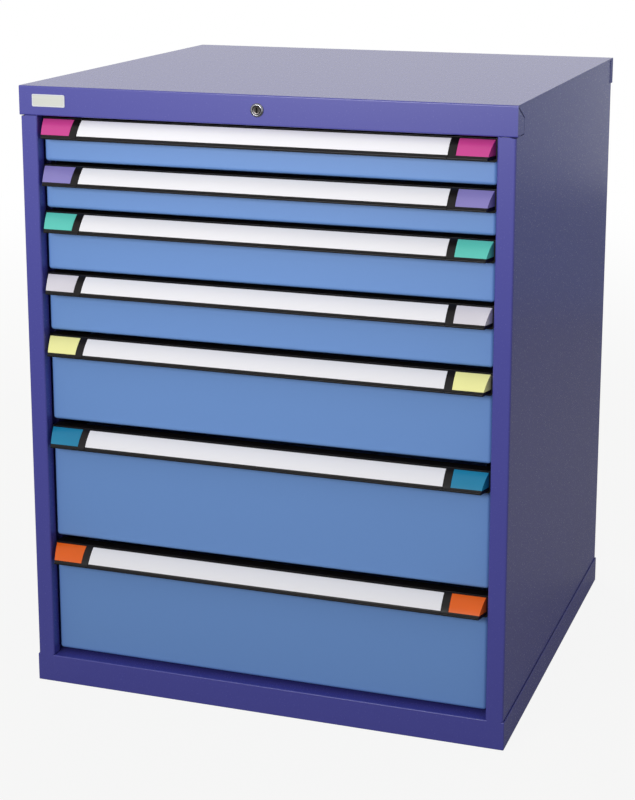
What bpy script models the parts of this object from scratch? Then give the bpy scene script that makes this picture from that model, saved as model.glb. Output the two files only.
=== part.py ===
"""Industrial drawer cabinet: seven drawers in a folded sheet-metal housing with a central lock.

Units are metres, +Z is up and the front faces -Y. The origin lies on the floor, under the middle
of the closed cabinet. Inside the script, every place is counted from the cabinet's own frame: X from
its middle, Y from the front face of the stiles inwards, and Z from the floor.
"""

import math

import bmesh
import bpy
from mathutils import Matrix, Vector

# Fits
FIT_GAP = 0.0003  # between pieces that touch
SLIDE_GAP = 0.0004  # between a slider and its channel
OVERRUN = 0.005  # how far a cut runs past what it cuts

# Housing
HOUSING_WIDTH = 0.800
HOUSING_DEPTH = 0.750
SHEET = 0.0015
FOLD_RADIUS = 0.0022
FOLD_STEPS = 3
PLINTH_HEIGHT = 0.0467
PLINTH_FLANGE = 0.025
HEADER_HEIGHT = 0.0465
HEADER_RETURN = 0.020
HEADER_TAB_DEPTH = 0.048
HEADER_TAB_MITRE = 0.024
STILE_WIDTH = 0.030
STILE_RETURN = 0.020
REAR_FLANGE_HEIGHT = 0.045
REAR_FOLD_WIDTH = 0.020
BACK_SHEET = 0.0012
UPRIGHT_SETBACK = 0.044
UPRIGHT_WIDTH = 0.025
REAR_UPRIGHT_SPACE = 0.035  # behind the rear upright

# Drawers, from the top down: the share of the stack's height that each one takes
STACK_HEIGHT = 0.900
MODULE_SHARES = (3, 3, 4, 4, 6, 8, 8)
SILL_CLEARANCE = 0.0033  # under the lowest drawer's height in the opening
HEADER_CLEARANCE = 0.0035  # over the highest one's
FRONT_RECESS = 0.017
FRONT_SIDE_GAP = 0.003
FRONT_FOOT_GAP = 0.0045
FRONT_DEPTH = 0.020
FRONT_SHEET = 0.0012
FRONT_FOLD_RADIUS = 0.002
TRAY_SIDE_SPACE = 0.028
TRAY_BACK_SPACE = 0.0724
TRAY_SHEET = 0.0012
TRAY_FOOT_GAP = 0.008
TRAY_HEAD_GAP = 0.022

# Guide rails
CHANNEL_FOOT = 0.011
CHANNEL_HEIGHT = 0.027
CHANNEL_DEPTH = 0.0177
CHANNEL_SHEET = 0.0015
SLIDER_SHEET = 0.0015
SLIDER_FRONT_SETBACK = 0.046

# Handles: a plate against the drawer front with a ledge over its top edge, and in front of it
# the grip, whose face is an arc that leans out to the lip
HANDLE_TOP_GAP = 0.0006
HANDLE_REACH = 0.0266
LEDGE_THICKNESS = 0.0016
LEDGE_DEPTH = 0.020
SKIRT_HEIGHT = 0.005  # of the plate under the lip
FACE_SETBACK = 0.0012
FACE_HEIGHT = 0.0268
FACE_RADIUS = 0.069
FACE_STEPS = 7
HANDLE_WALL = 0.003
HANDLE_WEB = 0.0018
LIP_NOSE = 0.0021
LIP_SLOPE = 0.001
LIP_HEIGHT = 0.0036
LIP_THICKNESS = 0.004
LIP_CHAMFER = 0.001
END_INSET = 0.0015
END_TAPER = 0.007
END_WALL = 0.004
END_PIECE_LENGTH = 0.0685  # from the label's end to the front's edge
LABEL_TOP_BAND = 0.0033
LABEL_FOOT_BAND = 0.0028
LABEL_POCKET = 0.001
LABEL_THICKNESS = 0.0005
DIVIDER_WIDTH = 0.0125
CAP_SKIN = 0.0012
LOWERINGS = (0.0, 0.0, 0.0, 0.0, 0.002, 0.005, 0.005)  # of each drawer's handle, from the top down

# Lock
LOCK_DROP = 0.023
BEZEL_RADIUS = 0.01075
BEZEL_PROUD = 0.003
BEZEL_CHAMFER = 0.0009
BARREL_RADIUS = 0.009
BARREL_LENGTH = 0.022
PLUG_RADIUS = 0.006
PLUG_TAIL_RADIUS = 0.004
PLUG_PROUD = 0.0032
KEYWAY_WIDTH = 0.0016
KEYWAY_HEIGHT = 0.0075
KEYWAY_DEPTH = 0.012
CAM_RADIUS = 0.0145
CAM_THICKNESS = 0.0025
CRANK_RADIUS = 0.010
PIN_RADIUS = 0.003
PIN_PLAY = 0.0006
PLATE_GAP = 0.0005
ROD_SETBACK = 0.026
ROD_THICKNESS = 0.003
ROD_RIM = 0.0025
BAR_WIDTH = 0.005
BAR_DEPTH = 0.012
BAR_SIDE_GAP = 0.001
BAR_FOOT_GAP = 0.010
BAR_HEAD = 0.006
CATCH_THICKNESS = 0.003
CATCH_HEIGHT = 0.012
CATCH_REACH = 0.008
CATCH_LIFT_GAP = 0.002
LOCK_TURN = math.radians(90)
ROUND_STEPS = 24
SLOT_STEPS = 6

# Name plate, left blank
PLATE_WIDTH = 0.060
PLATE_HEIGHT = 0.021
PLATE_THICKNESS = 0.0008
PLATE_CORNER = 0.002
PLATE_SIDE_GAP = 0.023
PLATE_DROP = 0.0115

# Sizes that follow from those above
MODULE_HEIGHTS = [STACK_HEIGHT * share / sum(MODULE_SHARES) for share in MODULE_SHARES]
OPENING_FOOT = PLINTH_HEIGHT + SILL_CLEARANCE
STACK_TOP = OPENING_FOOT + STACK_HEIGHT
HEADER_FOOT = STACK_TOP + HEADER_CLEARANCE
HOUSING_HEIGHT = HEADER_FOOT + HEADER_HEIGHT
HALF_WIDTH = HOUSING_WIDTH / 2
HALF_OPENING = HALF_WIDTH - STILE_WIDTH
SIDE_FACE = HALF_WIDTH - SHEET - FIT_GAP
SIDE_INNER = SIDE_FACE - SHEET
SIDE_BACK = HOUSING_DEPTH - SHEET - FIT_GAP
SIDE_FOOT = PLINTH_HEIGHT + FIT_GAP
SIDE_TOP = HOUSING_HEIGHT - SHEET - FIT_GAP
UPRIGHT_FACE = HALF_OPENING + SHEET
CHANNEL_WEB = UPRIGHT_FACE - FIT_GAP
CHANNEL_END = HOUSING_DEPTH - REAR_UPRIGHT_SPACE
REAR_UPRIGHT_SETBACK = CHANNEL_END - UPRIGHT_WIDTH
TRAY_HALF = HALF_OPENING - TRAY_SIDE_SPACE
TRAY_FRONT = FRONT_RECESS + FRONT_SHEET / 2
TRAY_BACK = HOUSING_DEPTH - TRAY_BACK_SPACE
FRONT_HALF = HALF_OPENING - FRONT_SIDE_GAP
LABEL_HALF_LENGTH = FRONT_HALF - END_PIECE_LENGTH
FRONT_HEAD_GAP = HANDLE_TOP_GAP + LEDGE_THICKNESS + FIT_GAP
HANDLE_BACK = FRONT_RECESS - FIT_GAP
PLATE_FRONT = HANDLE_BACK - HANDLE_WEB
GRIP_BACK = PLATE_FRONT - FIT_GAP
FACE_START = HANDLE_BACK - FACE_SETBACK
FACE_END = HANDLE_BACK - HANDLE_REACH
LIP_FRONT = FACE_END - LIP_NOSE
LIP_FOOT = -HANDLE_TOP_GAP - FACE_HEIGHT - LIP_HEIGHT
GRIP_HALF = FRONT_HALF - END_INSET
LIP_BACK = LIP_FRONT + LIP_THICKNESS
CAP_START = LABEL_HALF_LENGTH + DIVIDER_WIDTH
LIP_PROUD = -LIP_FRONT
FRONT_PLANE = LIP_PROUD - (HOUSING_DEPTH + LIP_PROUD) / 2
LOCK_HEIGHT = HOUSING_HEIGHT - LOCK_DROP
PIN_SWING = CRANK_RADIUS * math.sin(LOCK_TURN / 2)
PIN_DEPTH = CRANK_RADIUS * math.cos(LOCK_TURN / 2)
ROD_TRAVEL = 2 * PIN_SWING
PIN_HEIGHT = LOCK_HEIGHT - PIN_DEPTH
SLOT_RADIUS = PIN_RADIUS + PIN_PLAY
ROD_BACK = ROD_SETBACK + ROD_THICKNESS
BAR_BACK = UPRIGHT_SETBACK - FIT_GAP
BAR_FRONT = BAR_BACK - BAR_DEPTH
BAR_INNER = UPRIGHT_FACE + BAR_SIDE_GAP
BAR_MIDDLE = BAR_INNER + BAR_WIDTH / 2

# Finishes: base colour as linear light, roughness, metallic
HOUSING_PAINT = ((0.135, 0.130, 0.360), 0.42, 0.0)
FRONT_PAINT = ((0.170, 0.330, 0.640), 0.45, 0.0)
GALVANISED_STEEL = ((0.560, 0.570, 0.580), 0.40, 1.0)
BLACK_PLASTIC = ((0.014, 0.014, 0.018), 0.42, 0.0)
LABEL_CARD = ((0.870, 0.870, 0.880), 0.55, 0.0)
CHROME = ((0.800, 0.800, 0.810), 0.12, 1.0)
DARK_STEEL = ((0.060, 0.060, 0.065), 0.35, 1.0)
PLATE_SILVER = ((0.780, 0.790, 0.800), 0.35, 0.0)
CAP_COLOURS = (
    (0.600, 0.080, 0.300),
    (0.262, 0.220, 0.509),
    (0.140, 0.565, 0.468),
    (0.665, 0.642, 0.708),
    (0.871, 0.831, 0.376),
    (0.038, 0.195, 0.328),
    (0.686, 0.156, 0.030),
)
CAP_ROUGHNESS = 0.35

# The two axes of each drawing plane and the axis square to both
AXES = "XYZ"
PLANES = {"XY": "XYZ", "YZ": "YZX", "XZ": "XZY"}
BACKWARD_PLANES = ("XZ",)  # seen along the axis square to it, a path there turns the other way

# How nearly a face looks the way asked, from none to all
FACING_SHARE = 0.999
LEANING_SHARE = 0.001


def clear_scene():
    """Removes every object and collection that the file opened with."""
    for thing in list(bpy.data.objects):
        bpy.data.objects.remove(thing)
    for group in list(bpy.data.collections):
        bpy.data.collections.remove(group)


def new_collection(name):
    """A collection linked to the scene."""
    group = bpy.data.collections.new(name)
    bpy.context.scene.collection.children.link(group)
    return group


def in_plane(point, height, plane):
    """A point of a drawing plane as a place in space, at a height square to the plane."""
    first, second, third = map(AXES.index, PLANES[plane])
    place = Vector((0, 0, 0))
    place[first], place[second] = point
    place[third] = height
    return place


def rounded(points, radius, closed=False):
    """The path with an arc at each corner."""
    made = []
    for number, corner in enumerate(points):
        if not closed and number in (0, len(points) - 1):
            made.append(tuple(corner))
            continue
        corner = Vector(corner)
        back = (Vector(points[number - 1]) - corner).normalized()
        on = (Vector(points[(number + 1) % len(points)]) - corner).normalized()
        half_angle = back.angle(on) / 2
        centre = corner + (back + on).normalized() * radius / math.sin(half_angle)
        start = corner + back * radius / math.tan(half_angle) - centre
        end = corner + on * radius / math.tan(half_angle) - centre
        turn = math.atan2(start.cross(end), start.dot(end))
        for step in range(FOLD_STEPS + 1):
            spoke = start.copy()
            spoke.rotate(Matrix.Rotation(turn * step / FOLD_STEPS, 2))
            made.append(tuple(centre + spoke))
    return made


def evaluated_mesh(thing, name):
    """The object's mesh with its modifiers applied, in its own coordinates."""
    bpy.context.view_layer.update()
    graph = bpy.context.evaluated_depsgraph_get()
    mesh = bpy.data.meshes.new_from_object(thing.evaluated_get(graph))
    mesh.name = name
    return mesh


def helper(name, mesh):
    """A cutter, or a blank that others are joined to, which no render shows."""
    thing = bpy.data.objects.new(name, mesh)
    thing.hide_render = True
    thing.display_type = "WIRE"
    CUTTERS.objects.link(thing)
    return thing


def mesh_from(bm, name="shape"):
    """The mesh that a bmesh holds."""
    mesh = bpy.data.meshes.new(name)
    bm.to_mesh(mesh)
    bm.free()
    return mesh


def thickened(mesh, wall):
    """An open surface given a wall on the side away from its normals."""
    skin = helper("skin", mesh)
    solidify = skin.modifiers.new("wall", "SOLIDIFY")
    solidify.thickness = wall
    solidify.offset = -1
    solidify.use_even_offset = True
    solid = evaluated_mesh(skin, "walled")
    bpy.data.objects.remove(skin)
    return solid


def folded_sheet(path, low, high, wall, plane):
    """A sheet folded along a path of its outer face, which keeps the inside on its left."""
    ordered = list(reversed(path)) if plane in BACKWARD_PLANES else list(path)
    bm = bmesh.new()
    corners = [bm.verts.new(in_plane(point, low, plane)) for point in ordered]
    edges = [bm.edges.new(pair) for pair in zip(corners, corners[1:])]
    run = in_plane((0, 0), high - low, plane)
    outward = (corners[1].co - corners[0].co).cross(run)
    drawn = bmesh.ops.extrude_edge_only(bm, edges=edges)["geom"]
    bmesh.ops.translate(bm, vec=run, verts=[v for v in drawn if isinstance(v, bmesh.types.BMVert)])
    bm.faces.ensure_lookup_table()
    bm.normal_update()
    first = next(face for face in bm.faces if corners[0] in face.verts)
    if first.normal.dot(outward) < 0:
        bmesh.ops.reverse_faces(bm, faces=bm.faces)
    return thickened(mesh_from(bm), wall)


def prism(outline, low, high, plane, holes=()):
    """A flat outline, with any holes, drawn out square to its plane."""
    curve = bpy.data.curves.new("outline", "CURVE")
    curve.dimensions = "2D"
    curve.fill_mode = "BOTH"
    curve.extrude = (high - low) / 2
    for ring in (outline, *holes):
        spline = curve.splines.new("POLY")
        spline.points.add(len(ring) - 1)
        for spot, point in zip(spline.points, ring):
            spot.co = (*point, 0, 1)
        spline.use_cyclic_u = True
    drawing = helper("drawing", curve)
    mesh = evaluated_mesh(drawing, "prism")
    bpy.data.objects.remove(drawing)
    first, second, third = map(AXES.index, PLANES[plane])
    turn = Matrix.Identity(4)
    for row in range(3):
        turn[row][0] = float(row == first)
        turn[row][1] = float(row == second)
        turn[row][2] = float(row == third) * (-1 if plane in BACKWARD_PLANES else 1)
    turn.translation = in_plane((0, 0), (low + high) / 2, plane)
    mesh.transform(turn)
    bm = bmesh.new()
    bm.from_mesh(mesh)
    bmesh.ops.remove_doubles(bm, verts=bm.verts, dist=FIT_GAP / 100)
    bmesh.ops.recalc_face_normals(bm, faces=bm.faces)
    return mesh_from(bm)


def box_bmesh(low, high):
    """A closed box between two corners."""
    bm = bmesh.new()
    bmesh.ops.create_cube(bm, size=1)
    low, high = Vector(low), Vector(high)
    bmesh.ops.scale(bm, vec=high - low, verts=bm.verts)
    bmesh.ops.translate(bm, vec=(low + high) / 2, verts=bm.verts)
    return bm


def box(low, high):
    """A plain box as a mesh."""
    return mesh_from(box_bmesh(low, high))


def open_box(low, high, side, wall, radius=0.0, flange=0.0):
    """A sheet-metal box open on one side, with folded edges and, if asked, a flange round the mouth."""
    bm = box_bmesh(low, high)
    side = Vector(side)
    if radius:
        bmesh.ops.bevel(
            bm, geom=bm.edges[:], offset=radius, segments=FOLD_STEPS, profile=0.5, affect="EDGES"
        )
    bm.normal_update()
    facing = [face for face in bm.faces if face.normal.dot(side) > FACING_SHARE]
    lid = max(facing, key=lambda face: face.calc_area())
    if flange:
        bmesh.ops.inset_region(bm, faces=[lid], thickness=flange - radius)
    elif radius:
        # Without a flange, the walls run straight to the mouth
        mouth = max(Vector(low).dot(side), Vector(high).dot(side))
        folds = [face for face in bm.faces if face is not lid and face.normal.dot(side) > LEANING_SHARE]
        bmesh.ops.delete(bm, geom=folds + [lid], context="FACES")
        rim = [vert for vert in bm.verts if any(edge.is_boundary for edge in vert.link_edges)]
        for vert in rim:
            vert.co += side * (mouth - vert.co.dot(side))
        lid = None
    if lid:
        bmesh.ops.delete(bm, geom=[lid], context="FACES")
    return thickened(mesh_from(bm), wall)


def round_bar(radius, start, end, middle=(0, 0)):
    """A round bar along Y about a middle point (x, z)."""
    bm = bmesh.new()
    bmesh.ops.create_cone(
        bm, cap_ends=True, segments=ROUND_STEPS, radius1=radius, radius2=radius, depth=end - start
    )
    bmesh.ops.rotate(bm, matrix=Matrix.Rotation(math.radians(90), 3, "X"), verts=bm.verts)
    bmesh.ops.translate(bm, vec=(middle[0], (start + end) / 2, middle[1]), verts=bm.verts)
    return mesh_from(bm)


def turned(profile):
    """A closed profile of (radius, y) points turned about the Y axis."""
    bm = bmesh.new()
    corners = [bm.verts.new((radius, along, 0)) for radius, along in profile]
    for corner, following in zip(corners, corners[1:] + corners[:1]):
        bm.edges.new((corner, following))
    blank = helper("turning", mesh_from(bm))
    screw = blank.modifiers.new("turn", "SCREW")
    screw.axis = "Y"
    screw.steps = screw.render_steps = ROUND_STEPS
    screw.use_merge_vertices = True
    screw.merge_threshold = FIT_GAP / 100
    mesh = evaluated_mesh(blank, "turned")
    bpy.data.objects.remove(blank)
    bm = bmesh.new()
    bm.from_mesh(mesh)
    bmesh.ops.remove_doubles(bm, verts=bm.verts, dist=FIT_GAP / 100)
    bmesh.ops.recalc_face_normals(bm, faces=bm.faces)
    return mesh_from(bm)


def shaped(name, base, joins=(), cuts=()):
    """The base mesh with the joins welded on and then the cuts taken out."""
    blank = helper(f"{name}_blank", base)
    steps = [("UNION", mesh) for mesh in joins] + [("DIFFERENCE", mesh) for mesh in cuts]
    for number, (operation, mesh) in enumerate(steps, 1):
        tool = helper(f"{name}_tool_{number}", mesh)
        boolean = blank.modifiers.new(tool.name, "BOOLEAN")
        boolean.operation = operation
        boolean.solver = "EXACT"
        boolean.object = tool
    return evaluated_mesh(blank, name)


def mirrored(mesh):
    """A copy of the mesh on the other side of the middle plane."""
    copy = mesh.copy()
    copy.transform(Matrix.Diagonal((-1, 1, 1, 1)))
    copy.flip_normals()
    return copy


def add_axis(name, place, parent=None):
    """An empty that carries what moves together."""
    axis = bpy.data.objects.new(name, None)
    axis.parent = parent
    axis.location = place
    PARTS.objects.link(axis)
    return axis


def add_part(name, mesh, finish, parent, place=(0, 0, 0)):
    """One named piece with a material of its own."""
    colour, roughness, metallic = finish
    material = bpy.data.materials.new(name)
    material.use_nodes = True
    shader = material.node_tree.nodes["Principled BSDF"]
    shader.inputs["Base Color"].default_value = (*colour, 1)
    shader.inputs["Roughness"].default_value = roughness
    shader.inputs["Metallic"].default_value = metallic
    if not mesh.materials:
        mesh.shade_smooth()
        mesh.set_sharp_from_angle(angle=math.radians(30))
        mesh.materials.append(None)
    part = bpy.data.objects.new(name, mesh)
    part.parent = parent
    part.location = place
    PARTS.objects.link(part)
    part.material_slots[0].link = "OBJECT"
    part.material_slots[0].material = material
    return part


def stadium(start, end, radius):
    """The outline of a slot that a round pin runs in, from one end's centre to the other's."""
    start, end = Vector(start), Vector(end)
    along = math.atan2(end.y - start.y, end.x - start.x)
    ring = []
    for centre, turn in ((end, along - math.pi / 2), (start, along + math.pi / 2)):
        for step in range(SLOT_STEPS + 1):
            angle = turn + math.pi * step / SLOT_STEPS
            ring.append(tuple(centre + Vector((math.cos(angle), math.sin(angle))) * radius))
    return ring


def top_cover():
    """Top plate folded down into the header at the front and a flange at the back."""
    path = rounded(
        [
            (HOUSING_DEPTH, HOUSING_HEIGHT - REAR_FLANGE_HEIGHT),
            (HOUSING_DEPTH, HOUSING_HEIGHT),
            (0, HOUSING_HEIGHT),
            (0, HEADER_FOOT),
            (HEADER_RETURN, HEADER_FOOT),
        ],
        FOLD_RADIUS,
    )
    tab = [
        (SHEET / 2, HEADER_FOOT + SHEET),
        (HEADER_TAB_DEPTH, HEADER_FOOT),
        (HEADER_TAB_DEPTH, HOUSING_HEIGHT - HEADER_TAB_MITRE),
        (FOLD_RADIUS, HOUSING_HEIGHT - SHEET / 2),
        (SHEET / 2, HOUSING_HEIGHT - FOLD_RADIUS),
    ]
    tabs = [
        prism(tab, HALF_WIDTH - SHEET, HALF_WIDTH, "YZ"),
        prism(tab, -HALF_WIDTH, SHEET - HALF_WIDTH, "YZ"),
    ]
    hole = round_bar(
        BARREL_RADIUS + FIT_GAP, -OVERRUN, SHEET + OVERRUN, (0, LOCK_HEIGHT)
    )
    corners = [
        box(
            (near, SHEET, HEADER_FOOT - OVERRUN),
            (far, HEADER_RETURN + OVERRUN, HEADER_FOOT + FOLD_RADIUS),
        )
        for near, far in (
            (HALF_OPENING - FIT_GAP, HALF_WIDTH - SHEET - FIT_GAP),
            (SHEET + FIT_GAP - HALF_WIDTH, FIT_GAP - HALF_OPENING),
        )
    ]
    sheet = folded_sheet(path, -HALF_WIDTH, HALF_WIDTH, SHEET, "YZ")
    return shaped("top_cover", sheet, joins=tabs, cuts=[hole, *corners])


def side_panel():
    """Right side sheet, folded into the stile at the front, with the two uprights welded inside."""
    path = rounded(
        [
            (HALF_OPENING, STILE_RETURN),
            (HALF_OPENING, 0),
            (SIDE_FACE, 0),
            (SIDE_FACE, SIDE_BACK),
            (SIDE_FACE - REAR_FOLD_WIDTH, SIDE_BACK),
        ],
        FOLD_RADIUS,
    )
    uprights = [
        folded_sheet(
            rounded(
                [
                    (SIDE_FACE - SHEET / 2, setback + UPRIGHT_WIDTH),
                    (UPRIGHT_FACE, setback + UPRIGHT_WIDTH),
                    (UPRIGHT_FACE, setback),
                    (SIDE_FACE - SHEET / 2, setback),
                ],
                FOLD_RADIUS,
            ),
            SIDE_FOOT,
            STACK_TOP,
            SHEET,
            "XY",
        )
        for setback in (UPRIGHT_SETBACK, REAR_UPRIGHT_SETBACK)
    ]
    header_room = box(
        (HALF_OPENING - OVERRUN, -OVERRUN, HEADER_FOOT - FIT_GAP),
        (HALF_WIDTH + OVERRUN, SHEET + FIT_GAP, SIDE_TOP + OVERRUN),
    )
    sheet = folded_sheet(path, SIDE_FOOT, SIDE_TOP, SHEET, "XY")
    return shaped("side_panel", sheet, joins=uprights, cuts=[header_room])


def back_panel():
    """Flat sheet behind the drawers, inside the folds of the side panels."""
    back = SIDE_BACK - SHEET - FIT_GAP
    half = SIDE_INNER - FIT_GAP
    return box((-half, back - BACK_SHEET, SIDE_FOOT), (half, back, SIDE_TOP))


def base_plinth():
    """Floor plate with skirts all round, flanged inwards where it rests."""
    return open_box(
        (-HALF_WIDTH, 0, 0),
        (HALF_WIDTH, HOUSING_DEPTH, PLINTH_HEIGHT),
        (0, 0, -1),
        SHEET,
        FOLD_RADIUS,
        PLINTH_FLANGE,
    )


def runner():
    """Right guide channel of one drawer, open towards the tray, counted from its module's foot."""
    inner = CHANNEL_WEB - CHANNEL_DEPTH
    path = [
        (inner, CHANNEL_FOOT),
        (CHANNEL_WEB, CHANNEL_FOOT),
        (CHANNEL_WEB, CHANNEL_FOOT + CHANNEL_HEIGHT),
        (inner, CHANNEL_FOOT + CHANNEL_HEIGHT),
    ]
    return folded_sheet(path, UPRIGHT_SETBACK, CHANNEL_END, CHANNEL_SHEET, "XZ")


def drawer_body(height, lowering):
    """Front pan, tray and sliders of one drawer, welded together, counted from its module's foot."""
    front = open_box(
        (-FRONT_HALF, FRONT_RECESS, FRONT_FOOT_GAP),
        (FRONT_HALF, FRONT_RECESS + FRONT_DEPTH, height - lowering - FRONT_HEAD_GAP),
        (0, 1, 0),
        FRONT_SHEET,
        FRONT_FOLD_RADIUS,
    )
    tray = open_box(
        (-TRAY_HALF, TRAY_FRONT, TRAY_FOOT_GAP),
        (TRAY_HALF, TRAY_BACK, height - TRAY_HEAD_GAP),
        (0, 0, 1),
        TRAY_SHEET,
    )
    inner = TRAY_HALF - TRAY_SHEET / 2
    outer = CHANNEL_WEB - CHANNEL_SHEET - SLIDE_GAP
    foot = CHANNEL_FOOT + CHANNEL_SHEET + SLIDE_GAP
    head = CHANNEL_FOOT + CHANNEL_HEIGHT - CHANNEL_SHEET - SLIDE_GAP
    slider = folded_sheet(
        [(inner, foot), (outer, foot), (outer, head), (inner, head)],
        SLIDER_FRONT_SETBACK,
        TRAY_BACK,
        SLIDER_SHEET,
        "XZ",
    )
    return shaped("drawer_body", front, joins=[tray, slider, mirrored(slider)])


class HandleFace:
    """The arc of the handle's face, as points (y, z) counted from the top of the module."""

    def __init__(self):
        start = Vector((FACE_START, -HANDLE_TOP_GAP))
        end = Vector((FACE_END, -HANDLE_TOP_GAP - FACE_HEIGHT))
        chord = end - start
        inwards = Vector((-chord.y, chord.x)).normalized()
        rise = math.sqrt(FACE_RADIUS**2 - (chord.length / 2) ** 2)
        self.centre = (start + end) / 2 + inwards * rise
        self.start = self.angle_at(start.x, 0)
        self.length = FACE_RADIUS * (self.angle_at(end.x, 0) - self.start)

    def angle_at(self, depth, inset):
        """The arc's angle where it passes a depth, for a face moved in by the inset."""
        return math.asin((self.centre.x - depth) / (FACE_RADIUS - inset))

    def point(self, angle, inset):
        """The place on the face at an angle."""
        radius = FACE_RADIUS - inset
        return (
            self.centre.x - radius * math.sin(angle),
            self.centre.y + radius * math.cos(angle),
        )

    def between(self, first, last, inset):
        """Points from one angle to another."""
        return [
            self.point(first + (last - first) * step / FACE_STEPS, inset)
            for step in range(FACE_STEPS + 1)
        ]

    def angle_along(self, distance):
        """The angle at a distance down the face from its top edge."""
        return self.start + distance / FACE_RADIUS


FACE = HandleFace()


def end_half(depth):
    """Half the grip's length at a depth: its ends draw in towards the lip."""
    return GRIP_HALF - END_TAPER * (FACE_START - depth) / (FACE_START - LIP_FRONT)


def tapered(mesh, inset):
    """The mesh with its far end laid on the grip's slanting end plane moved in by the inset."""
    for vert in mesh.vertices:
        if vert.co.x > CAP_START + OVERRUN:
            vert.co.x = end_half(vert.co.y) - inset
    return mesh


def cap_shell(grow):
    """Right end cap, a skin over the handle's face and end. A positive grow makes its cutter."""
    outside = -OVERRUN if grow else 0.0
    back = GRIP_BACK - 2 * FIT_GAP + grow
    levels = [
        FACE.point(FACE.angle_along(distance), CAP_SKIN)[1]
        for distance in (LABEL_TOP_BAND, FACE.length - LABEL_FOOT_BAND)
    ]
    top = FACE.angle_along(LABEL_TOP_BAND - grow)
    foot = FACE.angle_along(FACE.length - LABEL_FOOT_BAND + grow)
    outline = [
        *FACE.between(top, foot, outside),
        FACE.point(foot, CAP_SKIN),
        (back, levels[1] - grow),
        (back, levels[0] + grow),
        FACE.point(top, CAP_SKIN),
    ]
    block = tapered(prism(outline, CAP_START - grow, FRONT_HALF, "YZ"), outside)
    margin = OVERRUN / FACE_RADIUS
    hollow_face = FACE.between(top - margin, foot + margin, CAP_SKIN + grow)
    far_back = back + OVERRUN
    hollow = [
        *hollow_face,
        (far_back, hollow_face[-1][1]),
        (far_back, hollow_face[0][1]),
    ]
    inside = tapered(
        prism(hollow, CAP_START - grow - OVERRUN, FRONT_HALF, "YZ"), CAP_SKIN + grow
    )
    return shaped("cap", block, cuts=[inside])


def handle():
    """Plate and ledge with a full-width grip: finger hollow, label pocket and seats for the caps."""
    plate_top = -HANDLE_TOP_GAP
    plate_foot = LIP_FOOT - SKIRT_HEIGHT
    outline = [
        *FACE.between(FACE.start, FACE.angle_along(FACE.length), 0),
        (LIP_FRONT, LIP_FOOT + LIP_HEIGHT - LIP_SLOPE),
        (LIP_FRONT, LIP_FOOT + LIP_CHAMFER),
        (LIP_FRONT + LIP_CHAMFER, LIP_FOOT),
        (PLATE_FRONT, LIP_FOOT),
        (PLATE_FRONT, plate_foot),
        (HANDLE_BACK, plate_foot),
        (HANDLE_BACK, plate_top - LEDGE_THICKNESS),
        (HANDLE_BACK + LEDGE_DEPTH, plate_top - LEDGE_THICKNESS),
        (HANDLE_BACK + LEDGE_DEPTH, plate_top),
    ]
    blank = prism(outline, -FRONT_HALF, FRONT_HALF, "YZ")
    far, front = FRONT_HALF + OVERRUN, LIP_FRONT - OVERRUN
    beyond = prism(
        [
            (end_half(front), front),
            (far, front),
            (far, GRIP_BACK),
            (end_half(GRIP_BACK), GRIP_BACK),
        ],
        LIP_FOOT - OVERRUN,
        OVERRUN,
        "XY",
    )
    hollow_face = FACE.between(
        FACE.angle_at(GRIP_BACK, HANDLE_WALL), FACE.angle_at(LIP_BACK, HANDLE_WALL), HANDLE_WALL
    )
    below = LIP_FOOT - OVERRUN
    hollow_end = GRIP_HALF - END_TAPER - END_WALL
    fingers = prism(
        [*hollow_face, (LIP_BACK, below), (GRIP_BACK, below)], -hollow_end, hollow_end, "YZ"
    )
    top = FACE.angle_along(LABEL_TOP_BAND)
    foot = FACE.angle_along(FACE.length - LABEL_FOOT_BAND)
    pocket = prism(
        [*FACE.between(top, foot, LABEL_POCKET), *FACE.between(foot, top, -OVERRUN)],
        -LABEL_HALF_LENGTH - FIT_GAP,
        LABEL_HALF_LENGTH + FIT_GAP,
        "YZ",
    )
    seat = cap_shell(FIT_GAP)
    cuts = [beyond, mirrored(beyond), fingers, pocket, seat, mirrored(seat)]
    return shaped("handle", blank, cuts=cuts)


def label():
    """Label strip that lies in the handle's pocket."""
    margin = FIT_GAP / FACE_RADIUS
    top = FACE.angle_along(LABEL_TOP_BAND) + margin
    foot = FACE.angle_along(FACE.length - LABEL_FOOT_BAND) - margin
    under = LABEL_POCKET - FIT_GAP
    section = [*FACE.between(top, foot, under), *FACE.between(foot, top, under - LABEL_THICKNESS)]
    return prism(section, -LABEL_HALF_LENGTH, LABEL_HALF_LENGTH, "YZ")


def lock_barrel():
    """Fixed housing of the lock with its bezel in front of the header, counted from the lock's axis."""
    bore = PLUG_RADIUS + FIT_GAP
    return turned(
        [
            (bore, -BEZEL_PROUD),
            (BEZEL_RADIUS - BEZEL_CHAMFER, -BEZEL_PROUD),
            (BEZEL_RADIUS, BEZEL_CHAMFER - BEZEL_PROUD),
            (BEZEL_RADIUS, -FIT_GAP),
            (BARREL_RADIUS, -FIT_GAP),
            (BARREL_RADIUS, BARREL_LENGTH),
            (bore, BARREL_LENGTH),
        ]
    )


def lock_plug():
    """Turning core of the lock with its keyway and the tail that carries the cam."""
    core = round_bar(PLUG_RADIUS, -PLUG_PROUD, BARREL_LENGTH)
    tail = round_bar(
        PLUG_TAIL_RADIUS, BARREL_LENGTH - OVERRUN, BARREL_LENGTH + PLATE_GAP + CAM_THICKNESS
    )
    keyway = box(
        (-KEYWAY_WIDTH / 2, -PLUG_PROUD - OVERRUN, -KEYWAY_HEIGHT / 2),
        (KEYWAY_WIDTH / 2, KEYWAY_DEPTH - PLUG_PROUD, KEYWAY_HEIGHT / 2),
    )
    return shaped("lock_plug", core, joins=[tail], cuts=[keyway])


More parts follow.
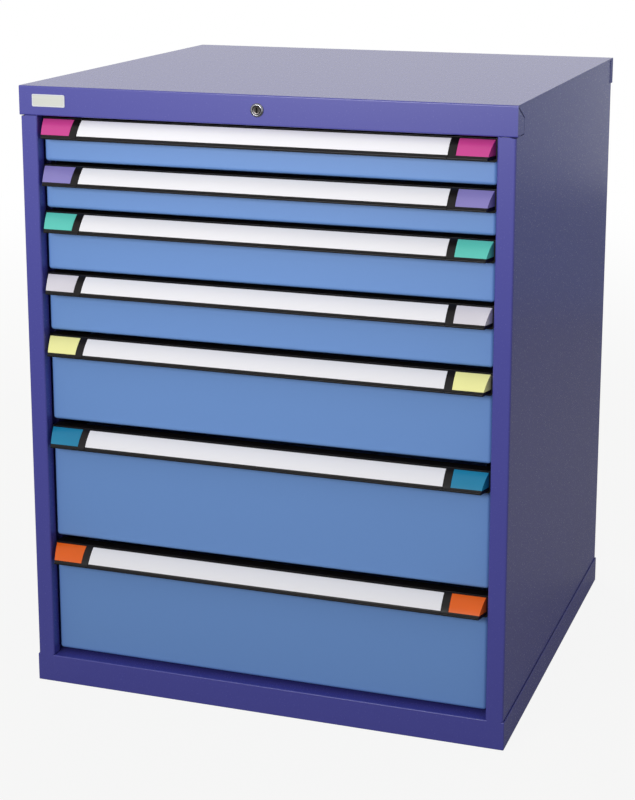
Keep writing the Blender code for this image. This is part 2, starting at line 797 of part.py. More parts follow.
def lock_cam():
    """Disc on the plug's tail with the crank pin that drives the cross rod."""
    front = BARREL_LENGTH + PLATE_GAP
    disc = round_bar(CAM_RADIUS, front, front + CAM_THICKNESS)
    pin = round_bar(
        PIN_RADIUS, front + CAM_THICKNESS / 2, ROD_BACK + PLATE_GAP, (-PIN_SWING, -PIN_DEPTH)
    )
    hole = round_bar(PLUG_TAIL_RADIUS + FIT_GAP, front - OVERRUN, front + CAM_THICKNESS + OVERRUN)
    return shaped("lock_cam", disc, joins=[pin], cuts=[hole])


def lock_rod():
    """Cross rod with an upright slot for the crank pin and a sloping one for the locking bar's pin."""
    margin = SLOT_RADIUS + ROD_RIM
    foot = -CRANK_RADIUS - margin
    head = -PIN_DEPTH + margin
    ramp_head = head + ROD_TRAVEL
    left = -PIN_SWING - margin
    right = BAR_MIDDLE + margin
    ramp_left = BAR_MIDDLE - ROD_TRAVEL - margin
    outline = [
        (left, foot),
        (right, foot),
        (right, ramp_head),
        (ramp_left, ramp_head),
        (ramp_left, head),
        (left, head),
    ]
    crank_slot = stadium((-PIN_SWING, -CRANK_RADIUS), (-PIN_SWING, -PIN_DEPTH), SLOT_RADIUS)
    ramp = stadium(
        (BAR_MIDDLE, -PIN_DEPTH), (BAR_MIDDLE - ROD_TRAVEL, ROD_TRAVEL - PIN_DEPTH), SLOT_RADIUS
    )
    return prism(outline, ROD_SETBACK, ROD_BACK, "XZ", holes=(crank_slot, ramp))


def locking_bar(module_feet):
    """Upright bar beside the drawers with one hook for each, counted from its pin's axis."""
    half = BAR_WIDTH / 2
    bar = box(
        (-half, BAR_FRONT, PLINTH_HEIGHT + BAR_FOOT_GAP - PIN_HEIGHT), (half, BAR_BACK, BAR_HEAD)
    )
    pin = round_bar(PIN_RADIUS, ROD_SETBACK - PLATE_GAP, BAR_FRONT + BAR_DEPTH / 2)
    root = BAR_FRONT + BAR_DEPTH / 2
    catches = []
    for foot in module_feet:
        low = foot + CHANNEL_FOOT + CHANNEL_HEIGHT + CATCH_LIFT_GAP - PIN_HEIGHT
        catches.append(
            box(
                (-CATCH_THICKNESS / 2, BAR_FRONT - CATCH_REACH, low),
                (CATCH_THICKNESS / 2, root, low + CATCH_HEIGHT),
            )
        )
    return shaped("locking_bar", bar, joins=[pin, *catches])


def name_plate():
    """Blank plate with rounded corners, counted from its middle on the header's front face."""
    half_width, half_height = PLATE_WIDTH / 2, PLATE_HEIGHT / 2
    outline = rounded(
        [
            (-half_width, -half_height),
            (half_width, -half_height),
            (half_width, half_height),
            (-half_width, half_height),
        ],
        PLATE_CORNER,
        closed=True,
    )
    return prism(outline, -FIT_GAP - PLATE_THICKNESS, -FIT_GAP, "XZ")


def add_housing(frame):
    """The fixed sheet-metal parts and the lock's fixed pieces."""
    add_part("top_cover", top_cover(), HOUSING_PAINT, frame)
    panel = side_panel()
    add_part("side_panel_right", panel, HOUSING_PAINT, frame)
    add_part("side_panel_left", mirrored(panel), HOUSING_PAINT, frame)
    add_part("back_panel", back_panel(), HOUSING_PAINT, frame)
    add_part("base_plinth", base_plinth(), HOUSING_PAINT, frame)
    plate_place = (
        PLATE_SIDE_GAP + PLATE_WIDTH / 2 - HALF_WIDTH,
        0,
        HOUSING_HEIGHT - PLATE_DROP - PLATE_HEIGHT / 2,
    )
    add_part("name_plate", name_plate(), PLATE_SILVER, frame, plate_place)
    add_part("lock_barrel", lock_barrel(), CHROME, frame, (0, 0, LOCK_HEIGHT))


def add_lock(frame, module_feet):
    """The moving pieces of the lock, each on its joint's axis."""
    lock_axis = add_axis("lock_axis", (0, 0, LOCK_HEIGHT), frame)
    add_part("lock_plug", lock_plug(), DARK_STEEL, lock_axis)
    add_part("lock_cam", lock_cam(), GALVANISED_STEEL, lock_axis)
    add_part("lock_rod", lock_rod(), GALVANISED_STEEL, frame, (0, 0, LOCK_HEIGHT))
    bar_place = (BAR_MIDDLE, 0, PIN_HEIGHT)
    add_part("locking_bar", locking_bar(module_feet), GALVANISED_STEEL, frame, bar_place)


def add_drawers(frame, module_feet):
    """The drawers with their guide channels, handles, labels and caps."""
    handle_mesh = handle()
    label_mesh = label()
    cap_right = cap_shell(0.0)
    cap_left = mirrored(cap_right)
    runner_right = runner()
    runner_left = mirrored(runner_right)
    fronts = list(zip(MODULE_HEIGHTS, LOWERINGS))
    body_meshes = {front: drawer_body(*front) for front in sorted(set(fronts))}
    for number, (foot, (height, lowering)) in enumerate(zip(module_feet, fronts), 1):
        place = (0, 0, foot)
        add_part(f"runner_{number}_left", runner_left, GALVANISED_STEEL, frame, place)
        add_part(f"runner_{number}_right", runner_right, GALVANISED_STEEL, frame, place)
        slide = add_axis(f"drawer_{number}_slide", place, frame)
        add_part(f"drawer_{number}_body", body_meshes[height, lowering], FRONT_PAINT, slide)
        top = (0, 0, height - lowering)
        cap_finish = (CAP_COLOURS[number - 1], CAP_ROUGHNESS, 0.0)
        add_part(f"drawer_{number}_handle", handle_mesh, BLACK_PLASTIC, slide, top)
        add_part(f"drawer_{number}_label", label_mesh, LABEL_CARD, slide, top)
        add_part(f"drawer_{number}_cap_left", cap_left, cap_finish, slide, top)
        add_part(f"drawer_{number}_cap_right", cap_right, cap_finish, slide, top)


def main():
    """Builds the closed cabinet."""
    module_feet = [
        STACK_TOP - sum(MODULE_HEIGHTS[: number + 1]) for number in range(len(MODULE_HEIGHTS))
    ]
    frame = add_axis("cabinet_frame", (0, FRONT_PLANE, 0))
    add_housing(frame)
    add_lock(frame, module_feet)
    add_drawers(frame, module_feet)
    bpy.context.view_layer.update()


clear_scene()
PARTS = new_collection("industrial_drawer_cabinet")
CUTTERS = new_collection("cutters")
main()
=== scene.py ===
"""Finishes, fine pieces and studio for the industrial drawer cabinet.

Metres, +Z up. The drawers face -Y, and the origin lies on the floor under the middle of the closed
cabinet. Depths are counted from the stiles' front face inwards unless a comment says otherwise.
"""

import logging
import math
from collections.abc import Iterable, Sequence
from dataclasses import dataclass
from enum import Enum

import bmesh
import bpy
from bmesh.types import BMesh, BMVert
from bpy.types import ID, Material, Node, NodeSocket, NodeTree, Object
from mathutils import Matrix, Vector


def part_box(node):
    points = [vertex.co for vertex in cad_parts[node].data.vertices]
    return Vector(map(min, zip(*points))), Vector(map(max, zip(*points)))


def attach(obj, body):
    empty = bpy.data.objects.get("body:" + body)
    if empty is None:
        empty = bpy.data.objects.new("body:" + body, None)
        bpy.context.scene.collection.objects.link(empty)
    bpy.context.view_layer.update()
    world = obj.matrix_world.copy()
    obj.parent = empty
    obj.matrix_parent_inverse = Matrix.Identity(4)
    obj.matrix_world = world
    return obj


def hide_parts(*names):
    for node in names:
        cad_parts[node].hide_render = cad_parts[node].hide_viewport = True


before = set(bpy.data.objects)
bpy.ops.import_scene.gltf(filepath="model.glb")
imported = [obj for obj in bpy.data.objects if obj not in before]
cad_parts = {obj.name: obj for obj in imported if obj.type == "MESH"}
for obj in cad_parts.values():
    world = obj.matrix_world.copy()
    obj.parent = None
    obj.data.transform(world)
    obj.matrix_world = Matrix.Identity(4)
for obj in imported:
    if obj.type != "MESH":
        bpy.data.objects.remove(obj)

LOG = logging.getLogger("cabinet")
REACH = 0.005  # how far a cutter goes past what it cuts
NEAR = 0.0001  # tolerance when places are compared
SQUARE = 0.001  # tolerance when directions are compared
MERGE = 0.00002  # points closer than this are one
ROUNDING = 6  # decimals of a metre that are kept of a CAD size
CREASE = 38.0  # degrees from which an edge is rounded
WHITE = (1.0, 1.0, 1.0, 1.0)
Point = tuple[float, float]
Place = tuple[float, float, float]
Pattern = tuple[NodeSocket | float, NodeSocket | None]


class Side(Enum):
    """The two sides of the cabinet, as the sign of X."""

    LEFT = -1
    RIGHT = 1

    @property
    def word(self) -> str:
        """The side as the pieces' names spell it."""
        return self.name.lower()

    def span(self, near: float, far: float) -> list[float]:
        """Two distances from the middle as places along X, the lower one first."""
        return sorted((self.value * near, self.value * far))

    def put(self, outline: Iterable[Point]) -> list[Point]:
        """An outline that starts from distances from the middle, moved to this side."""
        return [(self.value * across, other) for across, other in outline]


class Axis(Enum):
    """The direction that a flat outline is drawn out in, with the two axes that it is drawn on."""

    X = (1, 2, 0)
    Y = (0, 2, 1)
    Z = (0, 1, 2)

    def place(self, point: Point, along: float) -> Vector:
        """A point of the outline as a place in space.

        Args:
            point: the point on the two axes.
            along: how far it lies along the direction.

        Returns:
            The place.
        """
        place = Vector((0.0, 0.0, 0.0))
        for number, value in zip(self.value, (*point, along)):
            place[number] = value
        return place


class CapColour(Enum):
    """The colours of the grips' end caps, from the top drawer down: material slot and sRGB."""

    MAGENTA = ("cap_magenta", "#cd4492")
    LAVENDER = ("cap_lavender", "#8a81c1")
    MINT = ("cap_mint", "#5fcbbc")
    LIGHT_GREY = ("cap_light_grey", "#dedae2")
    YELLOW = ("cap_yellow", "#fbf8a8")
    PETROL = ("cap_petrol", "#1a83ab")
    ORANGE = ("cap_orange", "#f06614")


def corners_of(node: str) -> tuple[Place, Place]:
    """The lowest and highest corner of a CAD node, to a thousandth of a millimetre.

    Args:
        node: the node's name.

    Returns:
        The two corners.
    """
    low, high = (tuple(round(float(value), ROUNDING) for value in corner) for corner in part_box(node))
    return low, high


@dataclass(frozen=True)
class CabinetSizes:
    """The sizes that several sub-assemblies share, in metres."""

    half_width: float
    height: float
    front: float  # the stiles' face in the cabinet's own frame
    depth: float
    plinth_height: float
    header_foot: float
    half_opening: float
    lock_height: float
    sheet: float = 0.0015
    gap: float = 0.0003
    fold: float = 0.0022
    stack_top: float = 0.950
    modules: tuple[float, ...] = (0.075, 0.075, 0.100, 0.100, 0.150, 0.200, 0.200)
    lowerings: tuple[float, ...] = (0.0, 0.0, 0.0, 0.0, 0.002, 0.005, 0.005)

    @classmethod
    def of_frame(cls) -> "CabinetSizes":
        """The sizes that the CAD part has.

        Returns:
            The sizes.
        """
        (_, front, _), (half_width, back, plinth_height) = corners_of("base_plinth")
        (_, _, header_foot), (_, _, height) = corners_of("top_cover")
        (half_opening, _, _), _ = corners_of("side_panel_right")
        (_, _, lock_foot), (_, _, lock_head) = corners_of("lock_barrel")
        return cls(
            half_width=half_width,
            height=height,
            front=front,
            depth=round(back - front, ROUNDING),
            plinth_height=plinth_height,
            header_foot=header_foot,
            half_opening=half_opening,
            lock_height=round((lock_foot + lock_head) / 2, ROUNDING),
        )

    @property
    def side_face(self) -> float:
        """How far a side sheet's outer face lies from the middle."""
        return self.half_width - self.sheet - self.gap

    @property
    def rear_face(self) -> float:
        """Depth of the side sheets' rear folds."""
        return self.depth - self.sheet - self.gap

    def tops(self) -> list[float]:
        """The height of each drawer's module top, from the top drawer down."""
        return [self.stack_top - sum(self.modules[:number]) for number in range(len(self.modules))]

    def y(self, depth: float) -> float:
        """A depth behind the stiles' face as a place along Y."""
        return self.front + depth

    def placed(self, outline: Iterable[Point]) -> list[Point]:
        """Turns (depth, z) points into (y, z) points."""
        return [(self.y(depth), height) for depth, height in outline]


SIZES = CabinetSizes.of_frame()


def linear(hex_colour: str) -> tuple[float, float, float, float]:
    """Turns an sRGB colour into linear light.

    Args:
        hex_colour: the colour as "#rrggbb".

    Returns:
        Red, green, blue and an alpha of 1, as a shader socket takes them.
    """
    channels = [int(hex_colour[start : start + 2], 16) / 255 for start in (1, 3, 5)]
    light = [
        value / 12.92 if value <= 0.04045 else ((value + 0.055) / 1.055) ** 2.4 for value in channels
    ]
    return (light[0], light[1], light[2], 1.0)


def feed(tree: NodeTree, node: Node, links: dict[str | int, object]) -> None:
    """Joins outputs to a node's inputs or sets plain values in them.

    Args:
        tree: the node's tree.
        node: the node.
        links: for an input's name or number, either an output to join or a plain value.
    """
    for socket, source in links.items():
        if isinstance(source, NodeSocket):
            tree.links.new(source, node.inputs[socket])
        else:
            node.inputs[socket].default_value = source


def add_node(
    tree: NodeTree, kind: str, links: dict[str | int, object] | None = None, **settings: object
) -> Node:
    """Adds a node with its settings and what goes into its sockets.

    Args:
        tree: the tree that takes the node.
        kind: the node's type.
        links: what goes into its inputs, as feed takes it.
        settings: the node's own properties.

    Returns:
        The node.
    """
    node = tree.nodes.new(kind)
    for name, value in settings.items():
        setattr(node, name, value)
    feed(tree, node, links or {})
    return node


@dataclass(frozen=True)
class Finish:
    """A surface finish: its name, colour and gloss, and how far its pattern changes them."""

    name: str
    colour: str
    roughness: float
    metallic: float = 0.0
    shine: float = 0.5  # specular level, where 0.5 is that of most plastics and paints
    tone: float = 0.0  # how far the colour goes lighter and darker, as a share of itself
    gloss: float = 0.0  # how far the roughness goes up and down
    height: float = 0.0  # how far the surface is raised

    def material(self) -> Material:
        """The finish as a material, made once.

        Returns:
            The material.
        """
        if known := bpy.data.materials.get(self.name):
            return known
        material = bpy.data.materials.new(self.name)
        material.use_nodes = True
        tree = material.node_tree
        shader, base = tree.nodes["Principled BSDF"], linear(self.colour)
        look = {"Metallic": self.metallic, "Specular IOR Level": self.shine}
        feed(tree, shader, {"Base Color": base, "Roughness": self.roughness, **look})
        place = add_node(tree, "ShaderNodeTexCoord").outputs["Object"]
        value, crests = self.pattern(tree, place)
        dark = (*(part * (1 - self.tone) for part in base[:3]), 1.0)
        light = (*(min(1.0, part * (1 + self.tone)) for part in base[:3]), 1.0)
        tones = {0: value, 6: dark, 7: light}
        mix = add_node(tree, "ShaderNodeMix", tones, data_type="RGBA", clamp_factor=True)
        ends = {"To Min": self.roughness - self.gloss, "To Max": self.roughness + self.gloss}
        rough = add_node(tree, "ShaderNodeMapRange", {"Value": value, **ends})
        feed(tree, shader, {"Base Color": mix.outputs[2], "Roughness": rough.outputs[0]})
        if crests:
            relief = {"Height": crests, "Distance": self.height, "Strength": 1.0}
            bump = add_node(tree, "ShaderNodeBump", relief)
            feed(tree, shader, {"Normal": bump.outputs["Normal"]})
        return material

    def pattern(self, tree: NodeTree, place: NodeSocket) -> Pattern:
        """What varies over the surface: nothing on a plain finish.

        Args:
            tree: the material's tree.
            place: the piece's own coordinates, in metres.

        Returns:
            What shifts colour and gloss, and what raises the surface if anything does, from 0 to 1.
        """
        return 0.5, None


@dataclass(frozen=True)
class PowderCoat(Finish):
    """Polyester powder baked on steel sheet: an even satin colour with orange peel in its shine."""

    tone: float = 0.012
    gloss: float = 0.01
    height: float = 0.000006
    peel: float = 0.0026  # wave of the orange peel, drawn about as coarse as the real one

    def pattern(self, tree: NodeTree, place: NodeSocket) -> Pattern:
        """The peel as relief, its crests a little paler and duller than its valleys."""
        values = {"Vector": place, "Scale": 1 / self.peel, "Detail": 1.0}
        return (add_node(tree, "ShaderNodeTexNoise", values).outputs["Fac"],) * 2


@dataclass(frozen=True)
class MouldedPlastic(Finish):
    """Injection-moulded ABS: satin, with the mould's fine spark-eroded grain."""

    tone: float = 0.06
    gloss: float = 0.04
    height: float = 0.00001
    flow: float = 1 / 18  # wave of the tone, 56 mm long
    grain: float = 0.0012  # drawn coarser than the real 0.1 mm, so that it shows

    def pattern(self, tree: NodeTree, place: NodeSocket) -> Pattern:
        """Grain as relief, and a faint flow of tone along the piece.

        Args:
            tree: the material's tree.
            place: the piece's own coordinates, in metres.

        Returns:
            The flow and the grain.
        """
        values = {"Vector": place, "Scale": 1 / self.flow, "Detail": 2.0}
        flow = add_node(tree, "ShaderNodeTexNoise", values).outputs["Fac"]
        values = {"Vector": place, "Scale": 1 / self.grain, "Detail": 1.0}
        return flow, add_node(tree, "ShaderNodeTexNoise", values).outputs["Fac"]


@dataclass(frozen=True)
class FilmedCard(Finish):
    """White card behind a clear film: matt white with a clear, sharp shine over it."""

    tone: float = 0.015
    gloss: float = 0.02
    fibre: float = 0.0015  # drawn coarser than real paper, so that it shows
    film: float = 0.35  # weight of the clear coat
    film_roughness: float = 0.15

    def pattern(self, tree: NodeTree, place: NodeSocket) -> Pattern:
        """Faint paper fibre, and the film as a clear coat over it.

        Args:
            tree: the material's tree.
            place: the piece's own coordinates, in metres.

        Returns:
            The fibre, and no relief.
        """
        film = {"Coat Weight": self.film, "Coat Roughness": self.film_roughness}
        feed(tree, tree.nodes["Principled BSDF"], film)
        values = {"Vector": place, "Scale": 1 / self.fibre, "Detail": 3.0}
        return add_node(tree, "ShaderNodeTexNoise", values).outputs["Fac"], None


@dataclass(frozen=True)
class ZincSheet(Finish):
    """Hot-dip galvanised steel sheet: dull metal with spangle, each crystal shining a little apart."""

    tone: float = 0.10
    gloss: float = 0.07
    spangle: float = 0.009  # width of a crystal

    def pattern(self, tree: NodeTree, place: NodeSocket) -> Pattern:
        """One tone and gloss for each crystal."""
        cells = add_node(tree, "ShaderNodeTexVoronoi", {"Vector": place, "Scale": 1 / self.spangle})
        return add_node(tree, "ShaderNodeSeparateColor", {0: cells.outputs["Color"]}).outputs[0], None


@dataclass(frozen=True)
class PolishedMetal(Finish):
    """Plated or turned metal with fine wipe marks in its shine."""

    tone: float = 0.04
    gloss: float = 0.03
    mark: float = 0.004  # width of a mark

    def pattern(self, tree: NodeTree, place: NodeSocket) -> Pattern:
        """Wipe marks in the gloss."""
        values = {"Vector": place, "Scale": 1 / self.mark, "Detail": 4.0}
        return add_node(tree, "ShaderNodeTexNoise", values).outputs["Fac"], None


@dataclass(frozen=True)
class BrushedPlate(Finish):
    """Silver plate brushed along its length: fine level lines under a satin lacquer."""

    tone: float = 0.05
    gloss: float = 0.06
    line: float = 0.0006  # drawn coarser than real brush lines, so that they show
    run: float = 1 / 12  # length of a line, 83 mm

    def pattern(self, tree: NodeTree, place: NodeSocket) -> Pattern:
        """Brush lines, long in X and fine in Z.

        Args:
            tree: the material's tree.
            place: the piece's own coordinates, in metres.

        Returns:
            The lines, and no relief.
        """
        scale = (1 / self.run, 1 / self.run, 1 / self.line)
        drawn = add_node(tree, "ShaderNodeMapping", {"Vector": place, "Scale": scale})
        values = {"Vector": drawn.outputs[0], "Scale": 1.0, "Detail": 2.0}
        return add_node(tree, "ShaderNodeTexNoise", values).outputs["Fac"], None


# Housing: a deep violet-blue with a soft mirror in it.
HOUSING_PAINT = PowderCoat("violet_blue_powder_coat", "#4a4a9e", 0.27)
# Drawer fronts and trays: a paler blue with a flatter shine.
FRONT_PAINT = PowderCoat("light_blue_powder_coat", "#6b94d3", 0.40)
# Grips: near black, with only soft glints along their bends.
GRIP_BLACK = MouldedPlastic("black_moulded_abs", "#131010", 0.32, shine=0.25)
# Labels: clean white strips that shine a little at a low angle.
LABEL_CARD = FilmedCard("white_card_behind_film", "#f3f2f6", 0.55)
# Rails, channels and lock linkage: grey, dull and lightly mottled.
ZINC = ZincSheet("galvanised_steel_sheet", "#b9bcc0", 0.38, 1.0)
# Lock bezel: a bright ring with dark mirror images. Its colour is far darker than chrome's, which paints
# shade into every reflection on it and stands in for dimmer surroundings.
BEZEL_CHROME = PolishedMetal("worn_chrome", "#87878c", 0.18, 1.0)
# Lock plug: darker, so that the ring stands out round it.
PLUG_STEEL = PolishedMetal("dark_lock_steel", "#54504f", 0.30, 1.0)
# Name plate: a bright rim round a duller face.
PLATE_SILVER = BrushedPlate("polished_plate_border", "#d3d5d9", 0.30, 0.25)
PLATE_FACE = BrushedPlate("brushed_plate_face", "#c4c6bf", 0.42, 0.25)
# Wheels: dull black.
WHEEL_NYLON = MouldedPlastic("black_turned_nylon", "#26262a", 0.50)


def linked(name: str, data: ID) -> Object:
    """An object in the scene.

    Args:
        name: its name.
        data: its mesh, lamp or camera.

    Returns:
        The object, at the origin.
    """
    made = bpy.data.objects.new(name, data)
    bpy.context.scene.collection.objects.link(made)
    return made


def new_piece(name: str, shape: BMesh) -> Object:
    """Makes an object of a bmesh.

    Args:
        name: the piece's name.
        shape: its shape as a bmesh, which is freed.

    Returns:
        The object.
    """
    mesh = bpy.data.meshes.new(name)
    shape.to_mesh(mesh)
    shape.free()
    return linked(name, mesh)


def copy_at(piece: Object, name: str, offset: Place) -> Object:
    """A copy of a finished piece whose mesh is moved.

    Args:
        piece: the piece.
        name: the copy's name.
        offset: how far the mesh is moved.

    Returns:
        The copy, itself at the origin.
    """
    mesh = piece.data.copy()
    mesh.name = name
    mesh.transform(Matrix.Translation(offset))
    return linked(name, mesh)


def applied(piece: Object) -> Object:
    """Makes what a piece's modifiers give its plain mesh.

    Args:
        piece: the piece.

    Returns:
        The same object, without modifiers.
    """
    bpy.context.view_layer.update()
    graph = bpy.context.evaluated_depsgraph_get()
    made = bpy.data.meshes.new_from_object(piece.evaluated_get(graph))
    made.name = piece.name
    piece.modifiers.clear()
    piece.data = made
    return piece


def finished(
    piece: Object,
    wall: float = 0.0,
    cutters: Sequence[Object] = (),
    edge: float = 0.0,
    steps: int = 2,
) -> Object:
    """Gives a piece its wall, cuts and rounded edges as a plain mesh.

    Args:
        piece: the piece, an open surface if it takes a wall.
        wall: sheet thickness on the side away from the normals.
        cutters: closed pieces to take out of it, which are then removed.
        edge: width of the rounding on its edges.
        steps: facets of that rounding.

    Returns:
        The same object with its new mesh.
    """
    if wall:
        solidify = piece.modifiers.new("wall", "SOLIDIFY")
        solidify.thickness, solidify.offset, solidify.use_even_offset = wall, -1, True
    for number, cutter in enumerate(cutters):
        cut = piece.modifiers.new(f"cut_{number}", "BOOLEAN")
        cut.operation, cut.solver, cut.object = "DIFFERENCE", "EXACT", cutter
    if edge:
        bevel = piece.modifiers.new("edge", "BEVEL")
        bevel.width, bevel.segments = edge, steps
        bevel.limit_method, bevel.angle_limit = "ANGLE", math.radians(CREASE)
    piece.modifiers.new("even_faces", "WEIGHTED_NORMAL").keep_sharp = True
    piece.data.shade_smooth()
    applied(piece)
    for cutter in cutters:
        bpy.data.objects.remove(cutter)
    return piece


def dressed(
    piece: Object, finish: Finish, body: str, slot: str, nodes: Iterable[str] = ()
) -> Object:
    """Gives a piece its material and its body.

    Args:
        piece: the finished piece.
        finish: what it is covered with.
        body: the CAD body that it moves with.
        slot: the record's material slot that it belongs to; not used.
        nodes: the CAD nodes that it stands for.

    Returns:
        The same object.
    """
    coated(piece, finish)
    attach(piece, body)
    if nodes:
        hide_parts(*nodes)
    LOG.info("%s: %d faces, %s, on %s", piece.name, len(piece.data.polygons), finish.name, body)
    return piece


def coated(piece: Object, finish: Finish) -> None:
    """Gives a piece, or a solid of the CAD part that shows itself, its material."""
    piece.data.materials.clear()
    piece.data.materials.append(finish.material())


def drawn_out(
    outline: Sequence[Point], low: float, high: float, axis: Axis, closed: bool = True
) -> BMesh:
    """A flat outline drawn out into a closed solid, or a path drawn out into an open surface.

    Args:
        outline: the corners, in order.
        low: where it starts along the axis.
        high: where it ends.
        axis: the direction that it is drawn in.
        closed: whether it is an outline.

    Returns:
        The shape, with a solid's faces outwards.
    """
    shape = bmesh.new()
    corners = [shape.verts.new(axis.place(point, low)) for point in outline]
    if closed:
        faces = [shape.faces.new(corners)]
        drawn = bmesh.ops.extrude_face_region(shape, geom=faces, use_keep_orig=True)["geom"]
    else:
        edges = [shape.edges.new(pair) for pair in zip(corners, corners[1:])]
        drawn = bmesh.ops.extrude_edge_only(shape, edges=edges)["geom"]
    verts = [part for part in drawn if isinstance(part, BMVert)]
    bmesh.ops.translate(shape, vec=axis.place((0.0, 0.0), high - low), verts=verts)
    bmesh.ops.recalc_face_normals(shape, faces=shape.faces)
    return shape


def folded(path: Sequence[Point], low: float, high: float, axis: Axis, inside: Place) -> BMesh:
    """The outer face of a folded sheet.

    Args:
        path: the outer face's points, in order.
        low: where the sheet starts along the axis.
        high: where it ends.
        axis: the direction that the path is drawn in.
        inside: a place on the side that the wall lies on, near the path's second point.

    Returns:
        The open surface, with its normals away from the inside.
    """
    shape = drawn_out(path, low, high, axis, closed=False)
    shape.normal_update()
    fold = axis.place(path[1], low)
    near = min(shape.faces, key=lambda face: (face.calc_center_median() - fold).length)
    if near.normal.dot(Vector(inside) - near.calc_center_median()) > 0:
        bmesh.ops.reverse_faces(shape, faces=shape.faces)
    return shape


def box(low: Sequence[float], high: Sequence[float]) -> BMesh:
    """A closed box.

    Args:
        low: its lowest corner.
        high: its highest corner.

    Returns:
        The box.
    """
    shape = bmesh.new()
    bmesh.ops.create_cube(shape, size=1)
    low, high = Vector(low), Vector(high)
    bmesh.ops.scale(shape, vec=high - low, verts=shape.verts)
    bmesh.ops.translate(shape, vec=(low + high) / 2, verts=shape.verts)
    return shape


def rounded(
    path: Sequence[Point], radius: float, steps: int = 6, closed: bool = False
) -> list[Point]:
    """The path with an arc at each corner.

    Args:
        path: the corners, in order.
        radius: the arcs' radius.
        steps: the facets of each arc.
        closed: whether the last corner joins the first.

    Returns:
        The new points.
    """
    made: list[Point] = []
    for number, point in enumerate(path):
        if not closed and number in (0, len(path) - 1):
            made.append(point)
            continue
        corner = Vector(point)
        back = (Vector(path[number - 1]) - corner).normalized()
        on = (Vector(path[(number + 1) % len(path)]) - corner).normalized()
        half = back.angle(on) / 2
        centre = corner + (back + on).normalized() * radius / math.sin(half)
        start = corner + back * radius / math.tan(half) - centre
        end = corner + on * radius / math.tan(half) - centre
        turn = math.atan2(start.cross(end), start.dot(end))
        for step in range(steps + 1):
            spoke = start.copy()
            spoke.rotate(Matrix.Rotation(turn * step / steps, 2))
            made.append(tuple(centre + spoke))
    return made


def sheet_box(
    low: Place, high: Place, side: Place, radius: float, flange: float = 0.0, steps: int = 5
) -> BMesh:
    """The outer face of a sheet-metal box that is open on one side.

    Args:
        low: its lowest corner.
        high: its highest corner.
        side: the direction of the open side.
        radius: the radius of its folded edges.
        flange: width of a rim folded inwards round the mouth, or 0 for walls that run straight to it.
        steps: facets of each fold.

    Returns:
        The open surface.
    """
    shape = box(low, high)
    facing = Vector(side)
    bmesh.ops.bevel(shape, geom=shape.edges[:], offset=radius, segments=steps, profile=0.5, affect="EDGES")
    shape.normal_update()
    lid = max(shape.faces, key=lambda face: (face.normal.dot(facing) > 1 - SQUARE) * face.calc_area())
    if flange:
        bmesh.ops.inset_region(shape, faces=[lid], thickness=flange - radius)
        bmesh.ops.delete(shape, geom=[lid], context="FACES")
        return shape
    mouth = max(Vector(low).dot(facing), Vector(high).dot(facing))
    folds = [face for face in shape.faces if face.normal.dot(facing) > SQUARE]
    bmesh.ops.delete(shape, geom=folds, context="FACES")
    for vert in shape.verts:
        if any(edge.is_boundary for edge in vert.link_edges):
            vert.co += facing * (mouth - vert.co.dot(facing))
    return shape


def turned(name: str, profile: Sequence[Point], height: float, steps: int = 64) -> Object:
    """A closed profile turned about an axis along Y at X 0.

    Args:
        name: the piece's name.
        profile: the profile's corners as (radius, depth), in order.
        height: the axis's height.
        steps: facets round the axis.

    Returns:
        The unfinished piece.
    """
    shape = bmesh.new()
    corners = [shape.verts.new((radius, SIZES.y(depth), 0)) for radius, depth in profile]
    edges = [shape.edges.new(pair) for pair in zip(corners, corners[1:] + corners[:1])]
    bmesh.ops.spin(
        shape, geom=corners + edges, cent=(0, 0, 0), axis=(0, 1, 0), angle=2 * math.pi, steps=steps
    )
    bmesh.ops.remove_doubles(shape, verts=shape.verts, dist=MERGE)
    bmesh.ops.recalc_face_normals(shape, faces=shape.faces)
    bmesh.ops.translate(shape, vec=(0, 0, height), verts=shape.verts)
    return new_piece(name, shape)


@dataclass(frozen=True)
class RoundPart:
    """A round part that repeats, such as a rivet's head or a wheel."""

    foot_radius: float
    head_radius: float
    height: float
    sides: int
    turn: Place  # degrees about X, Y and Z


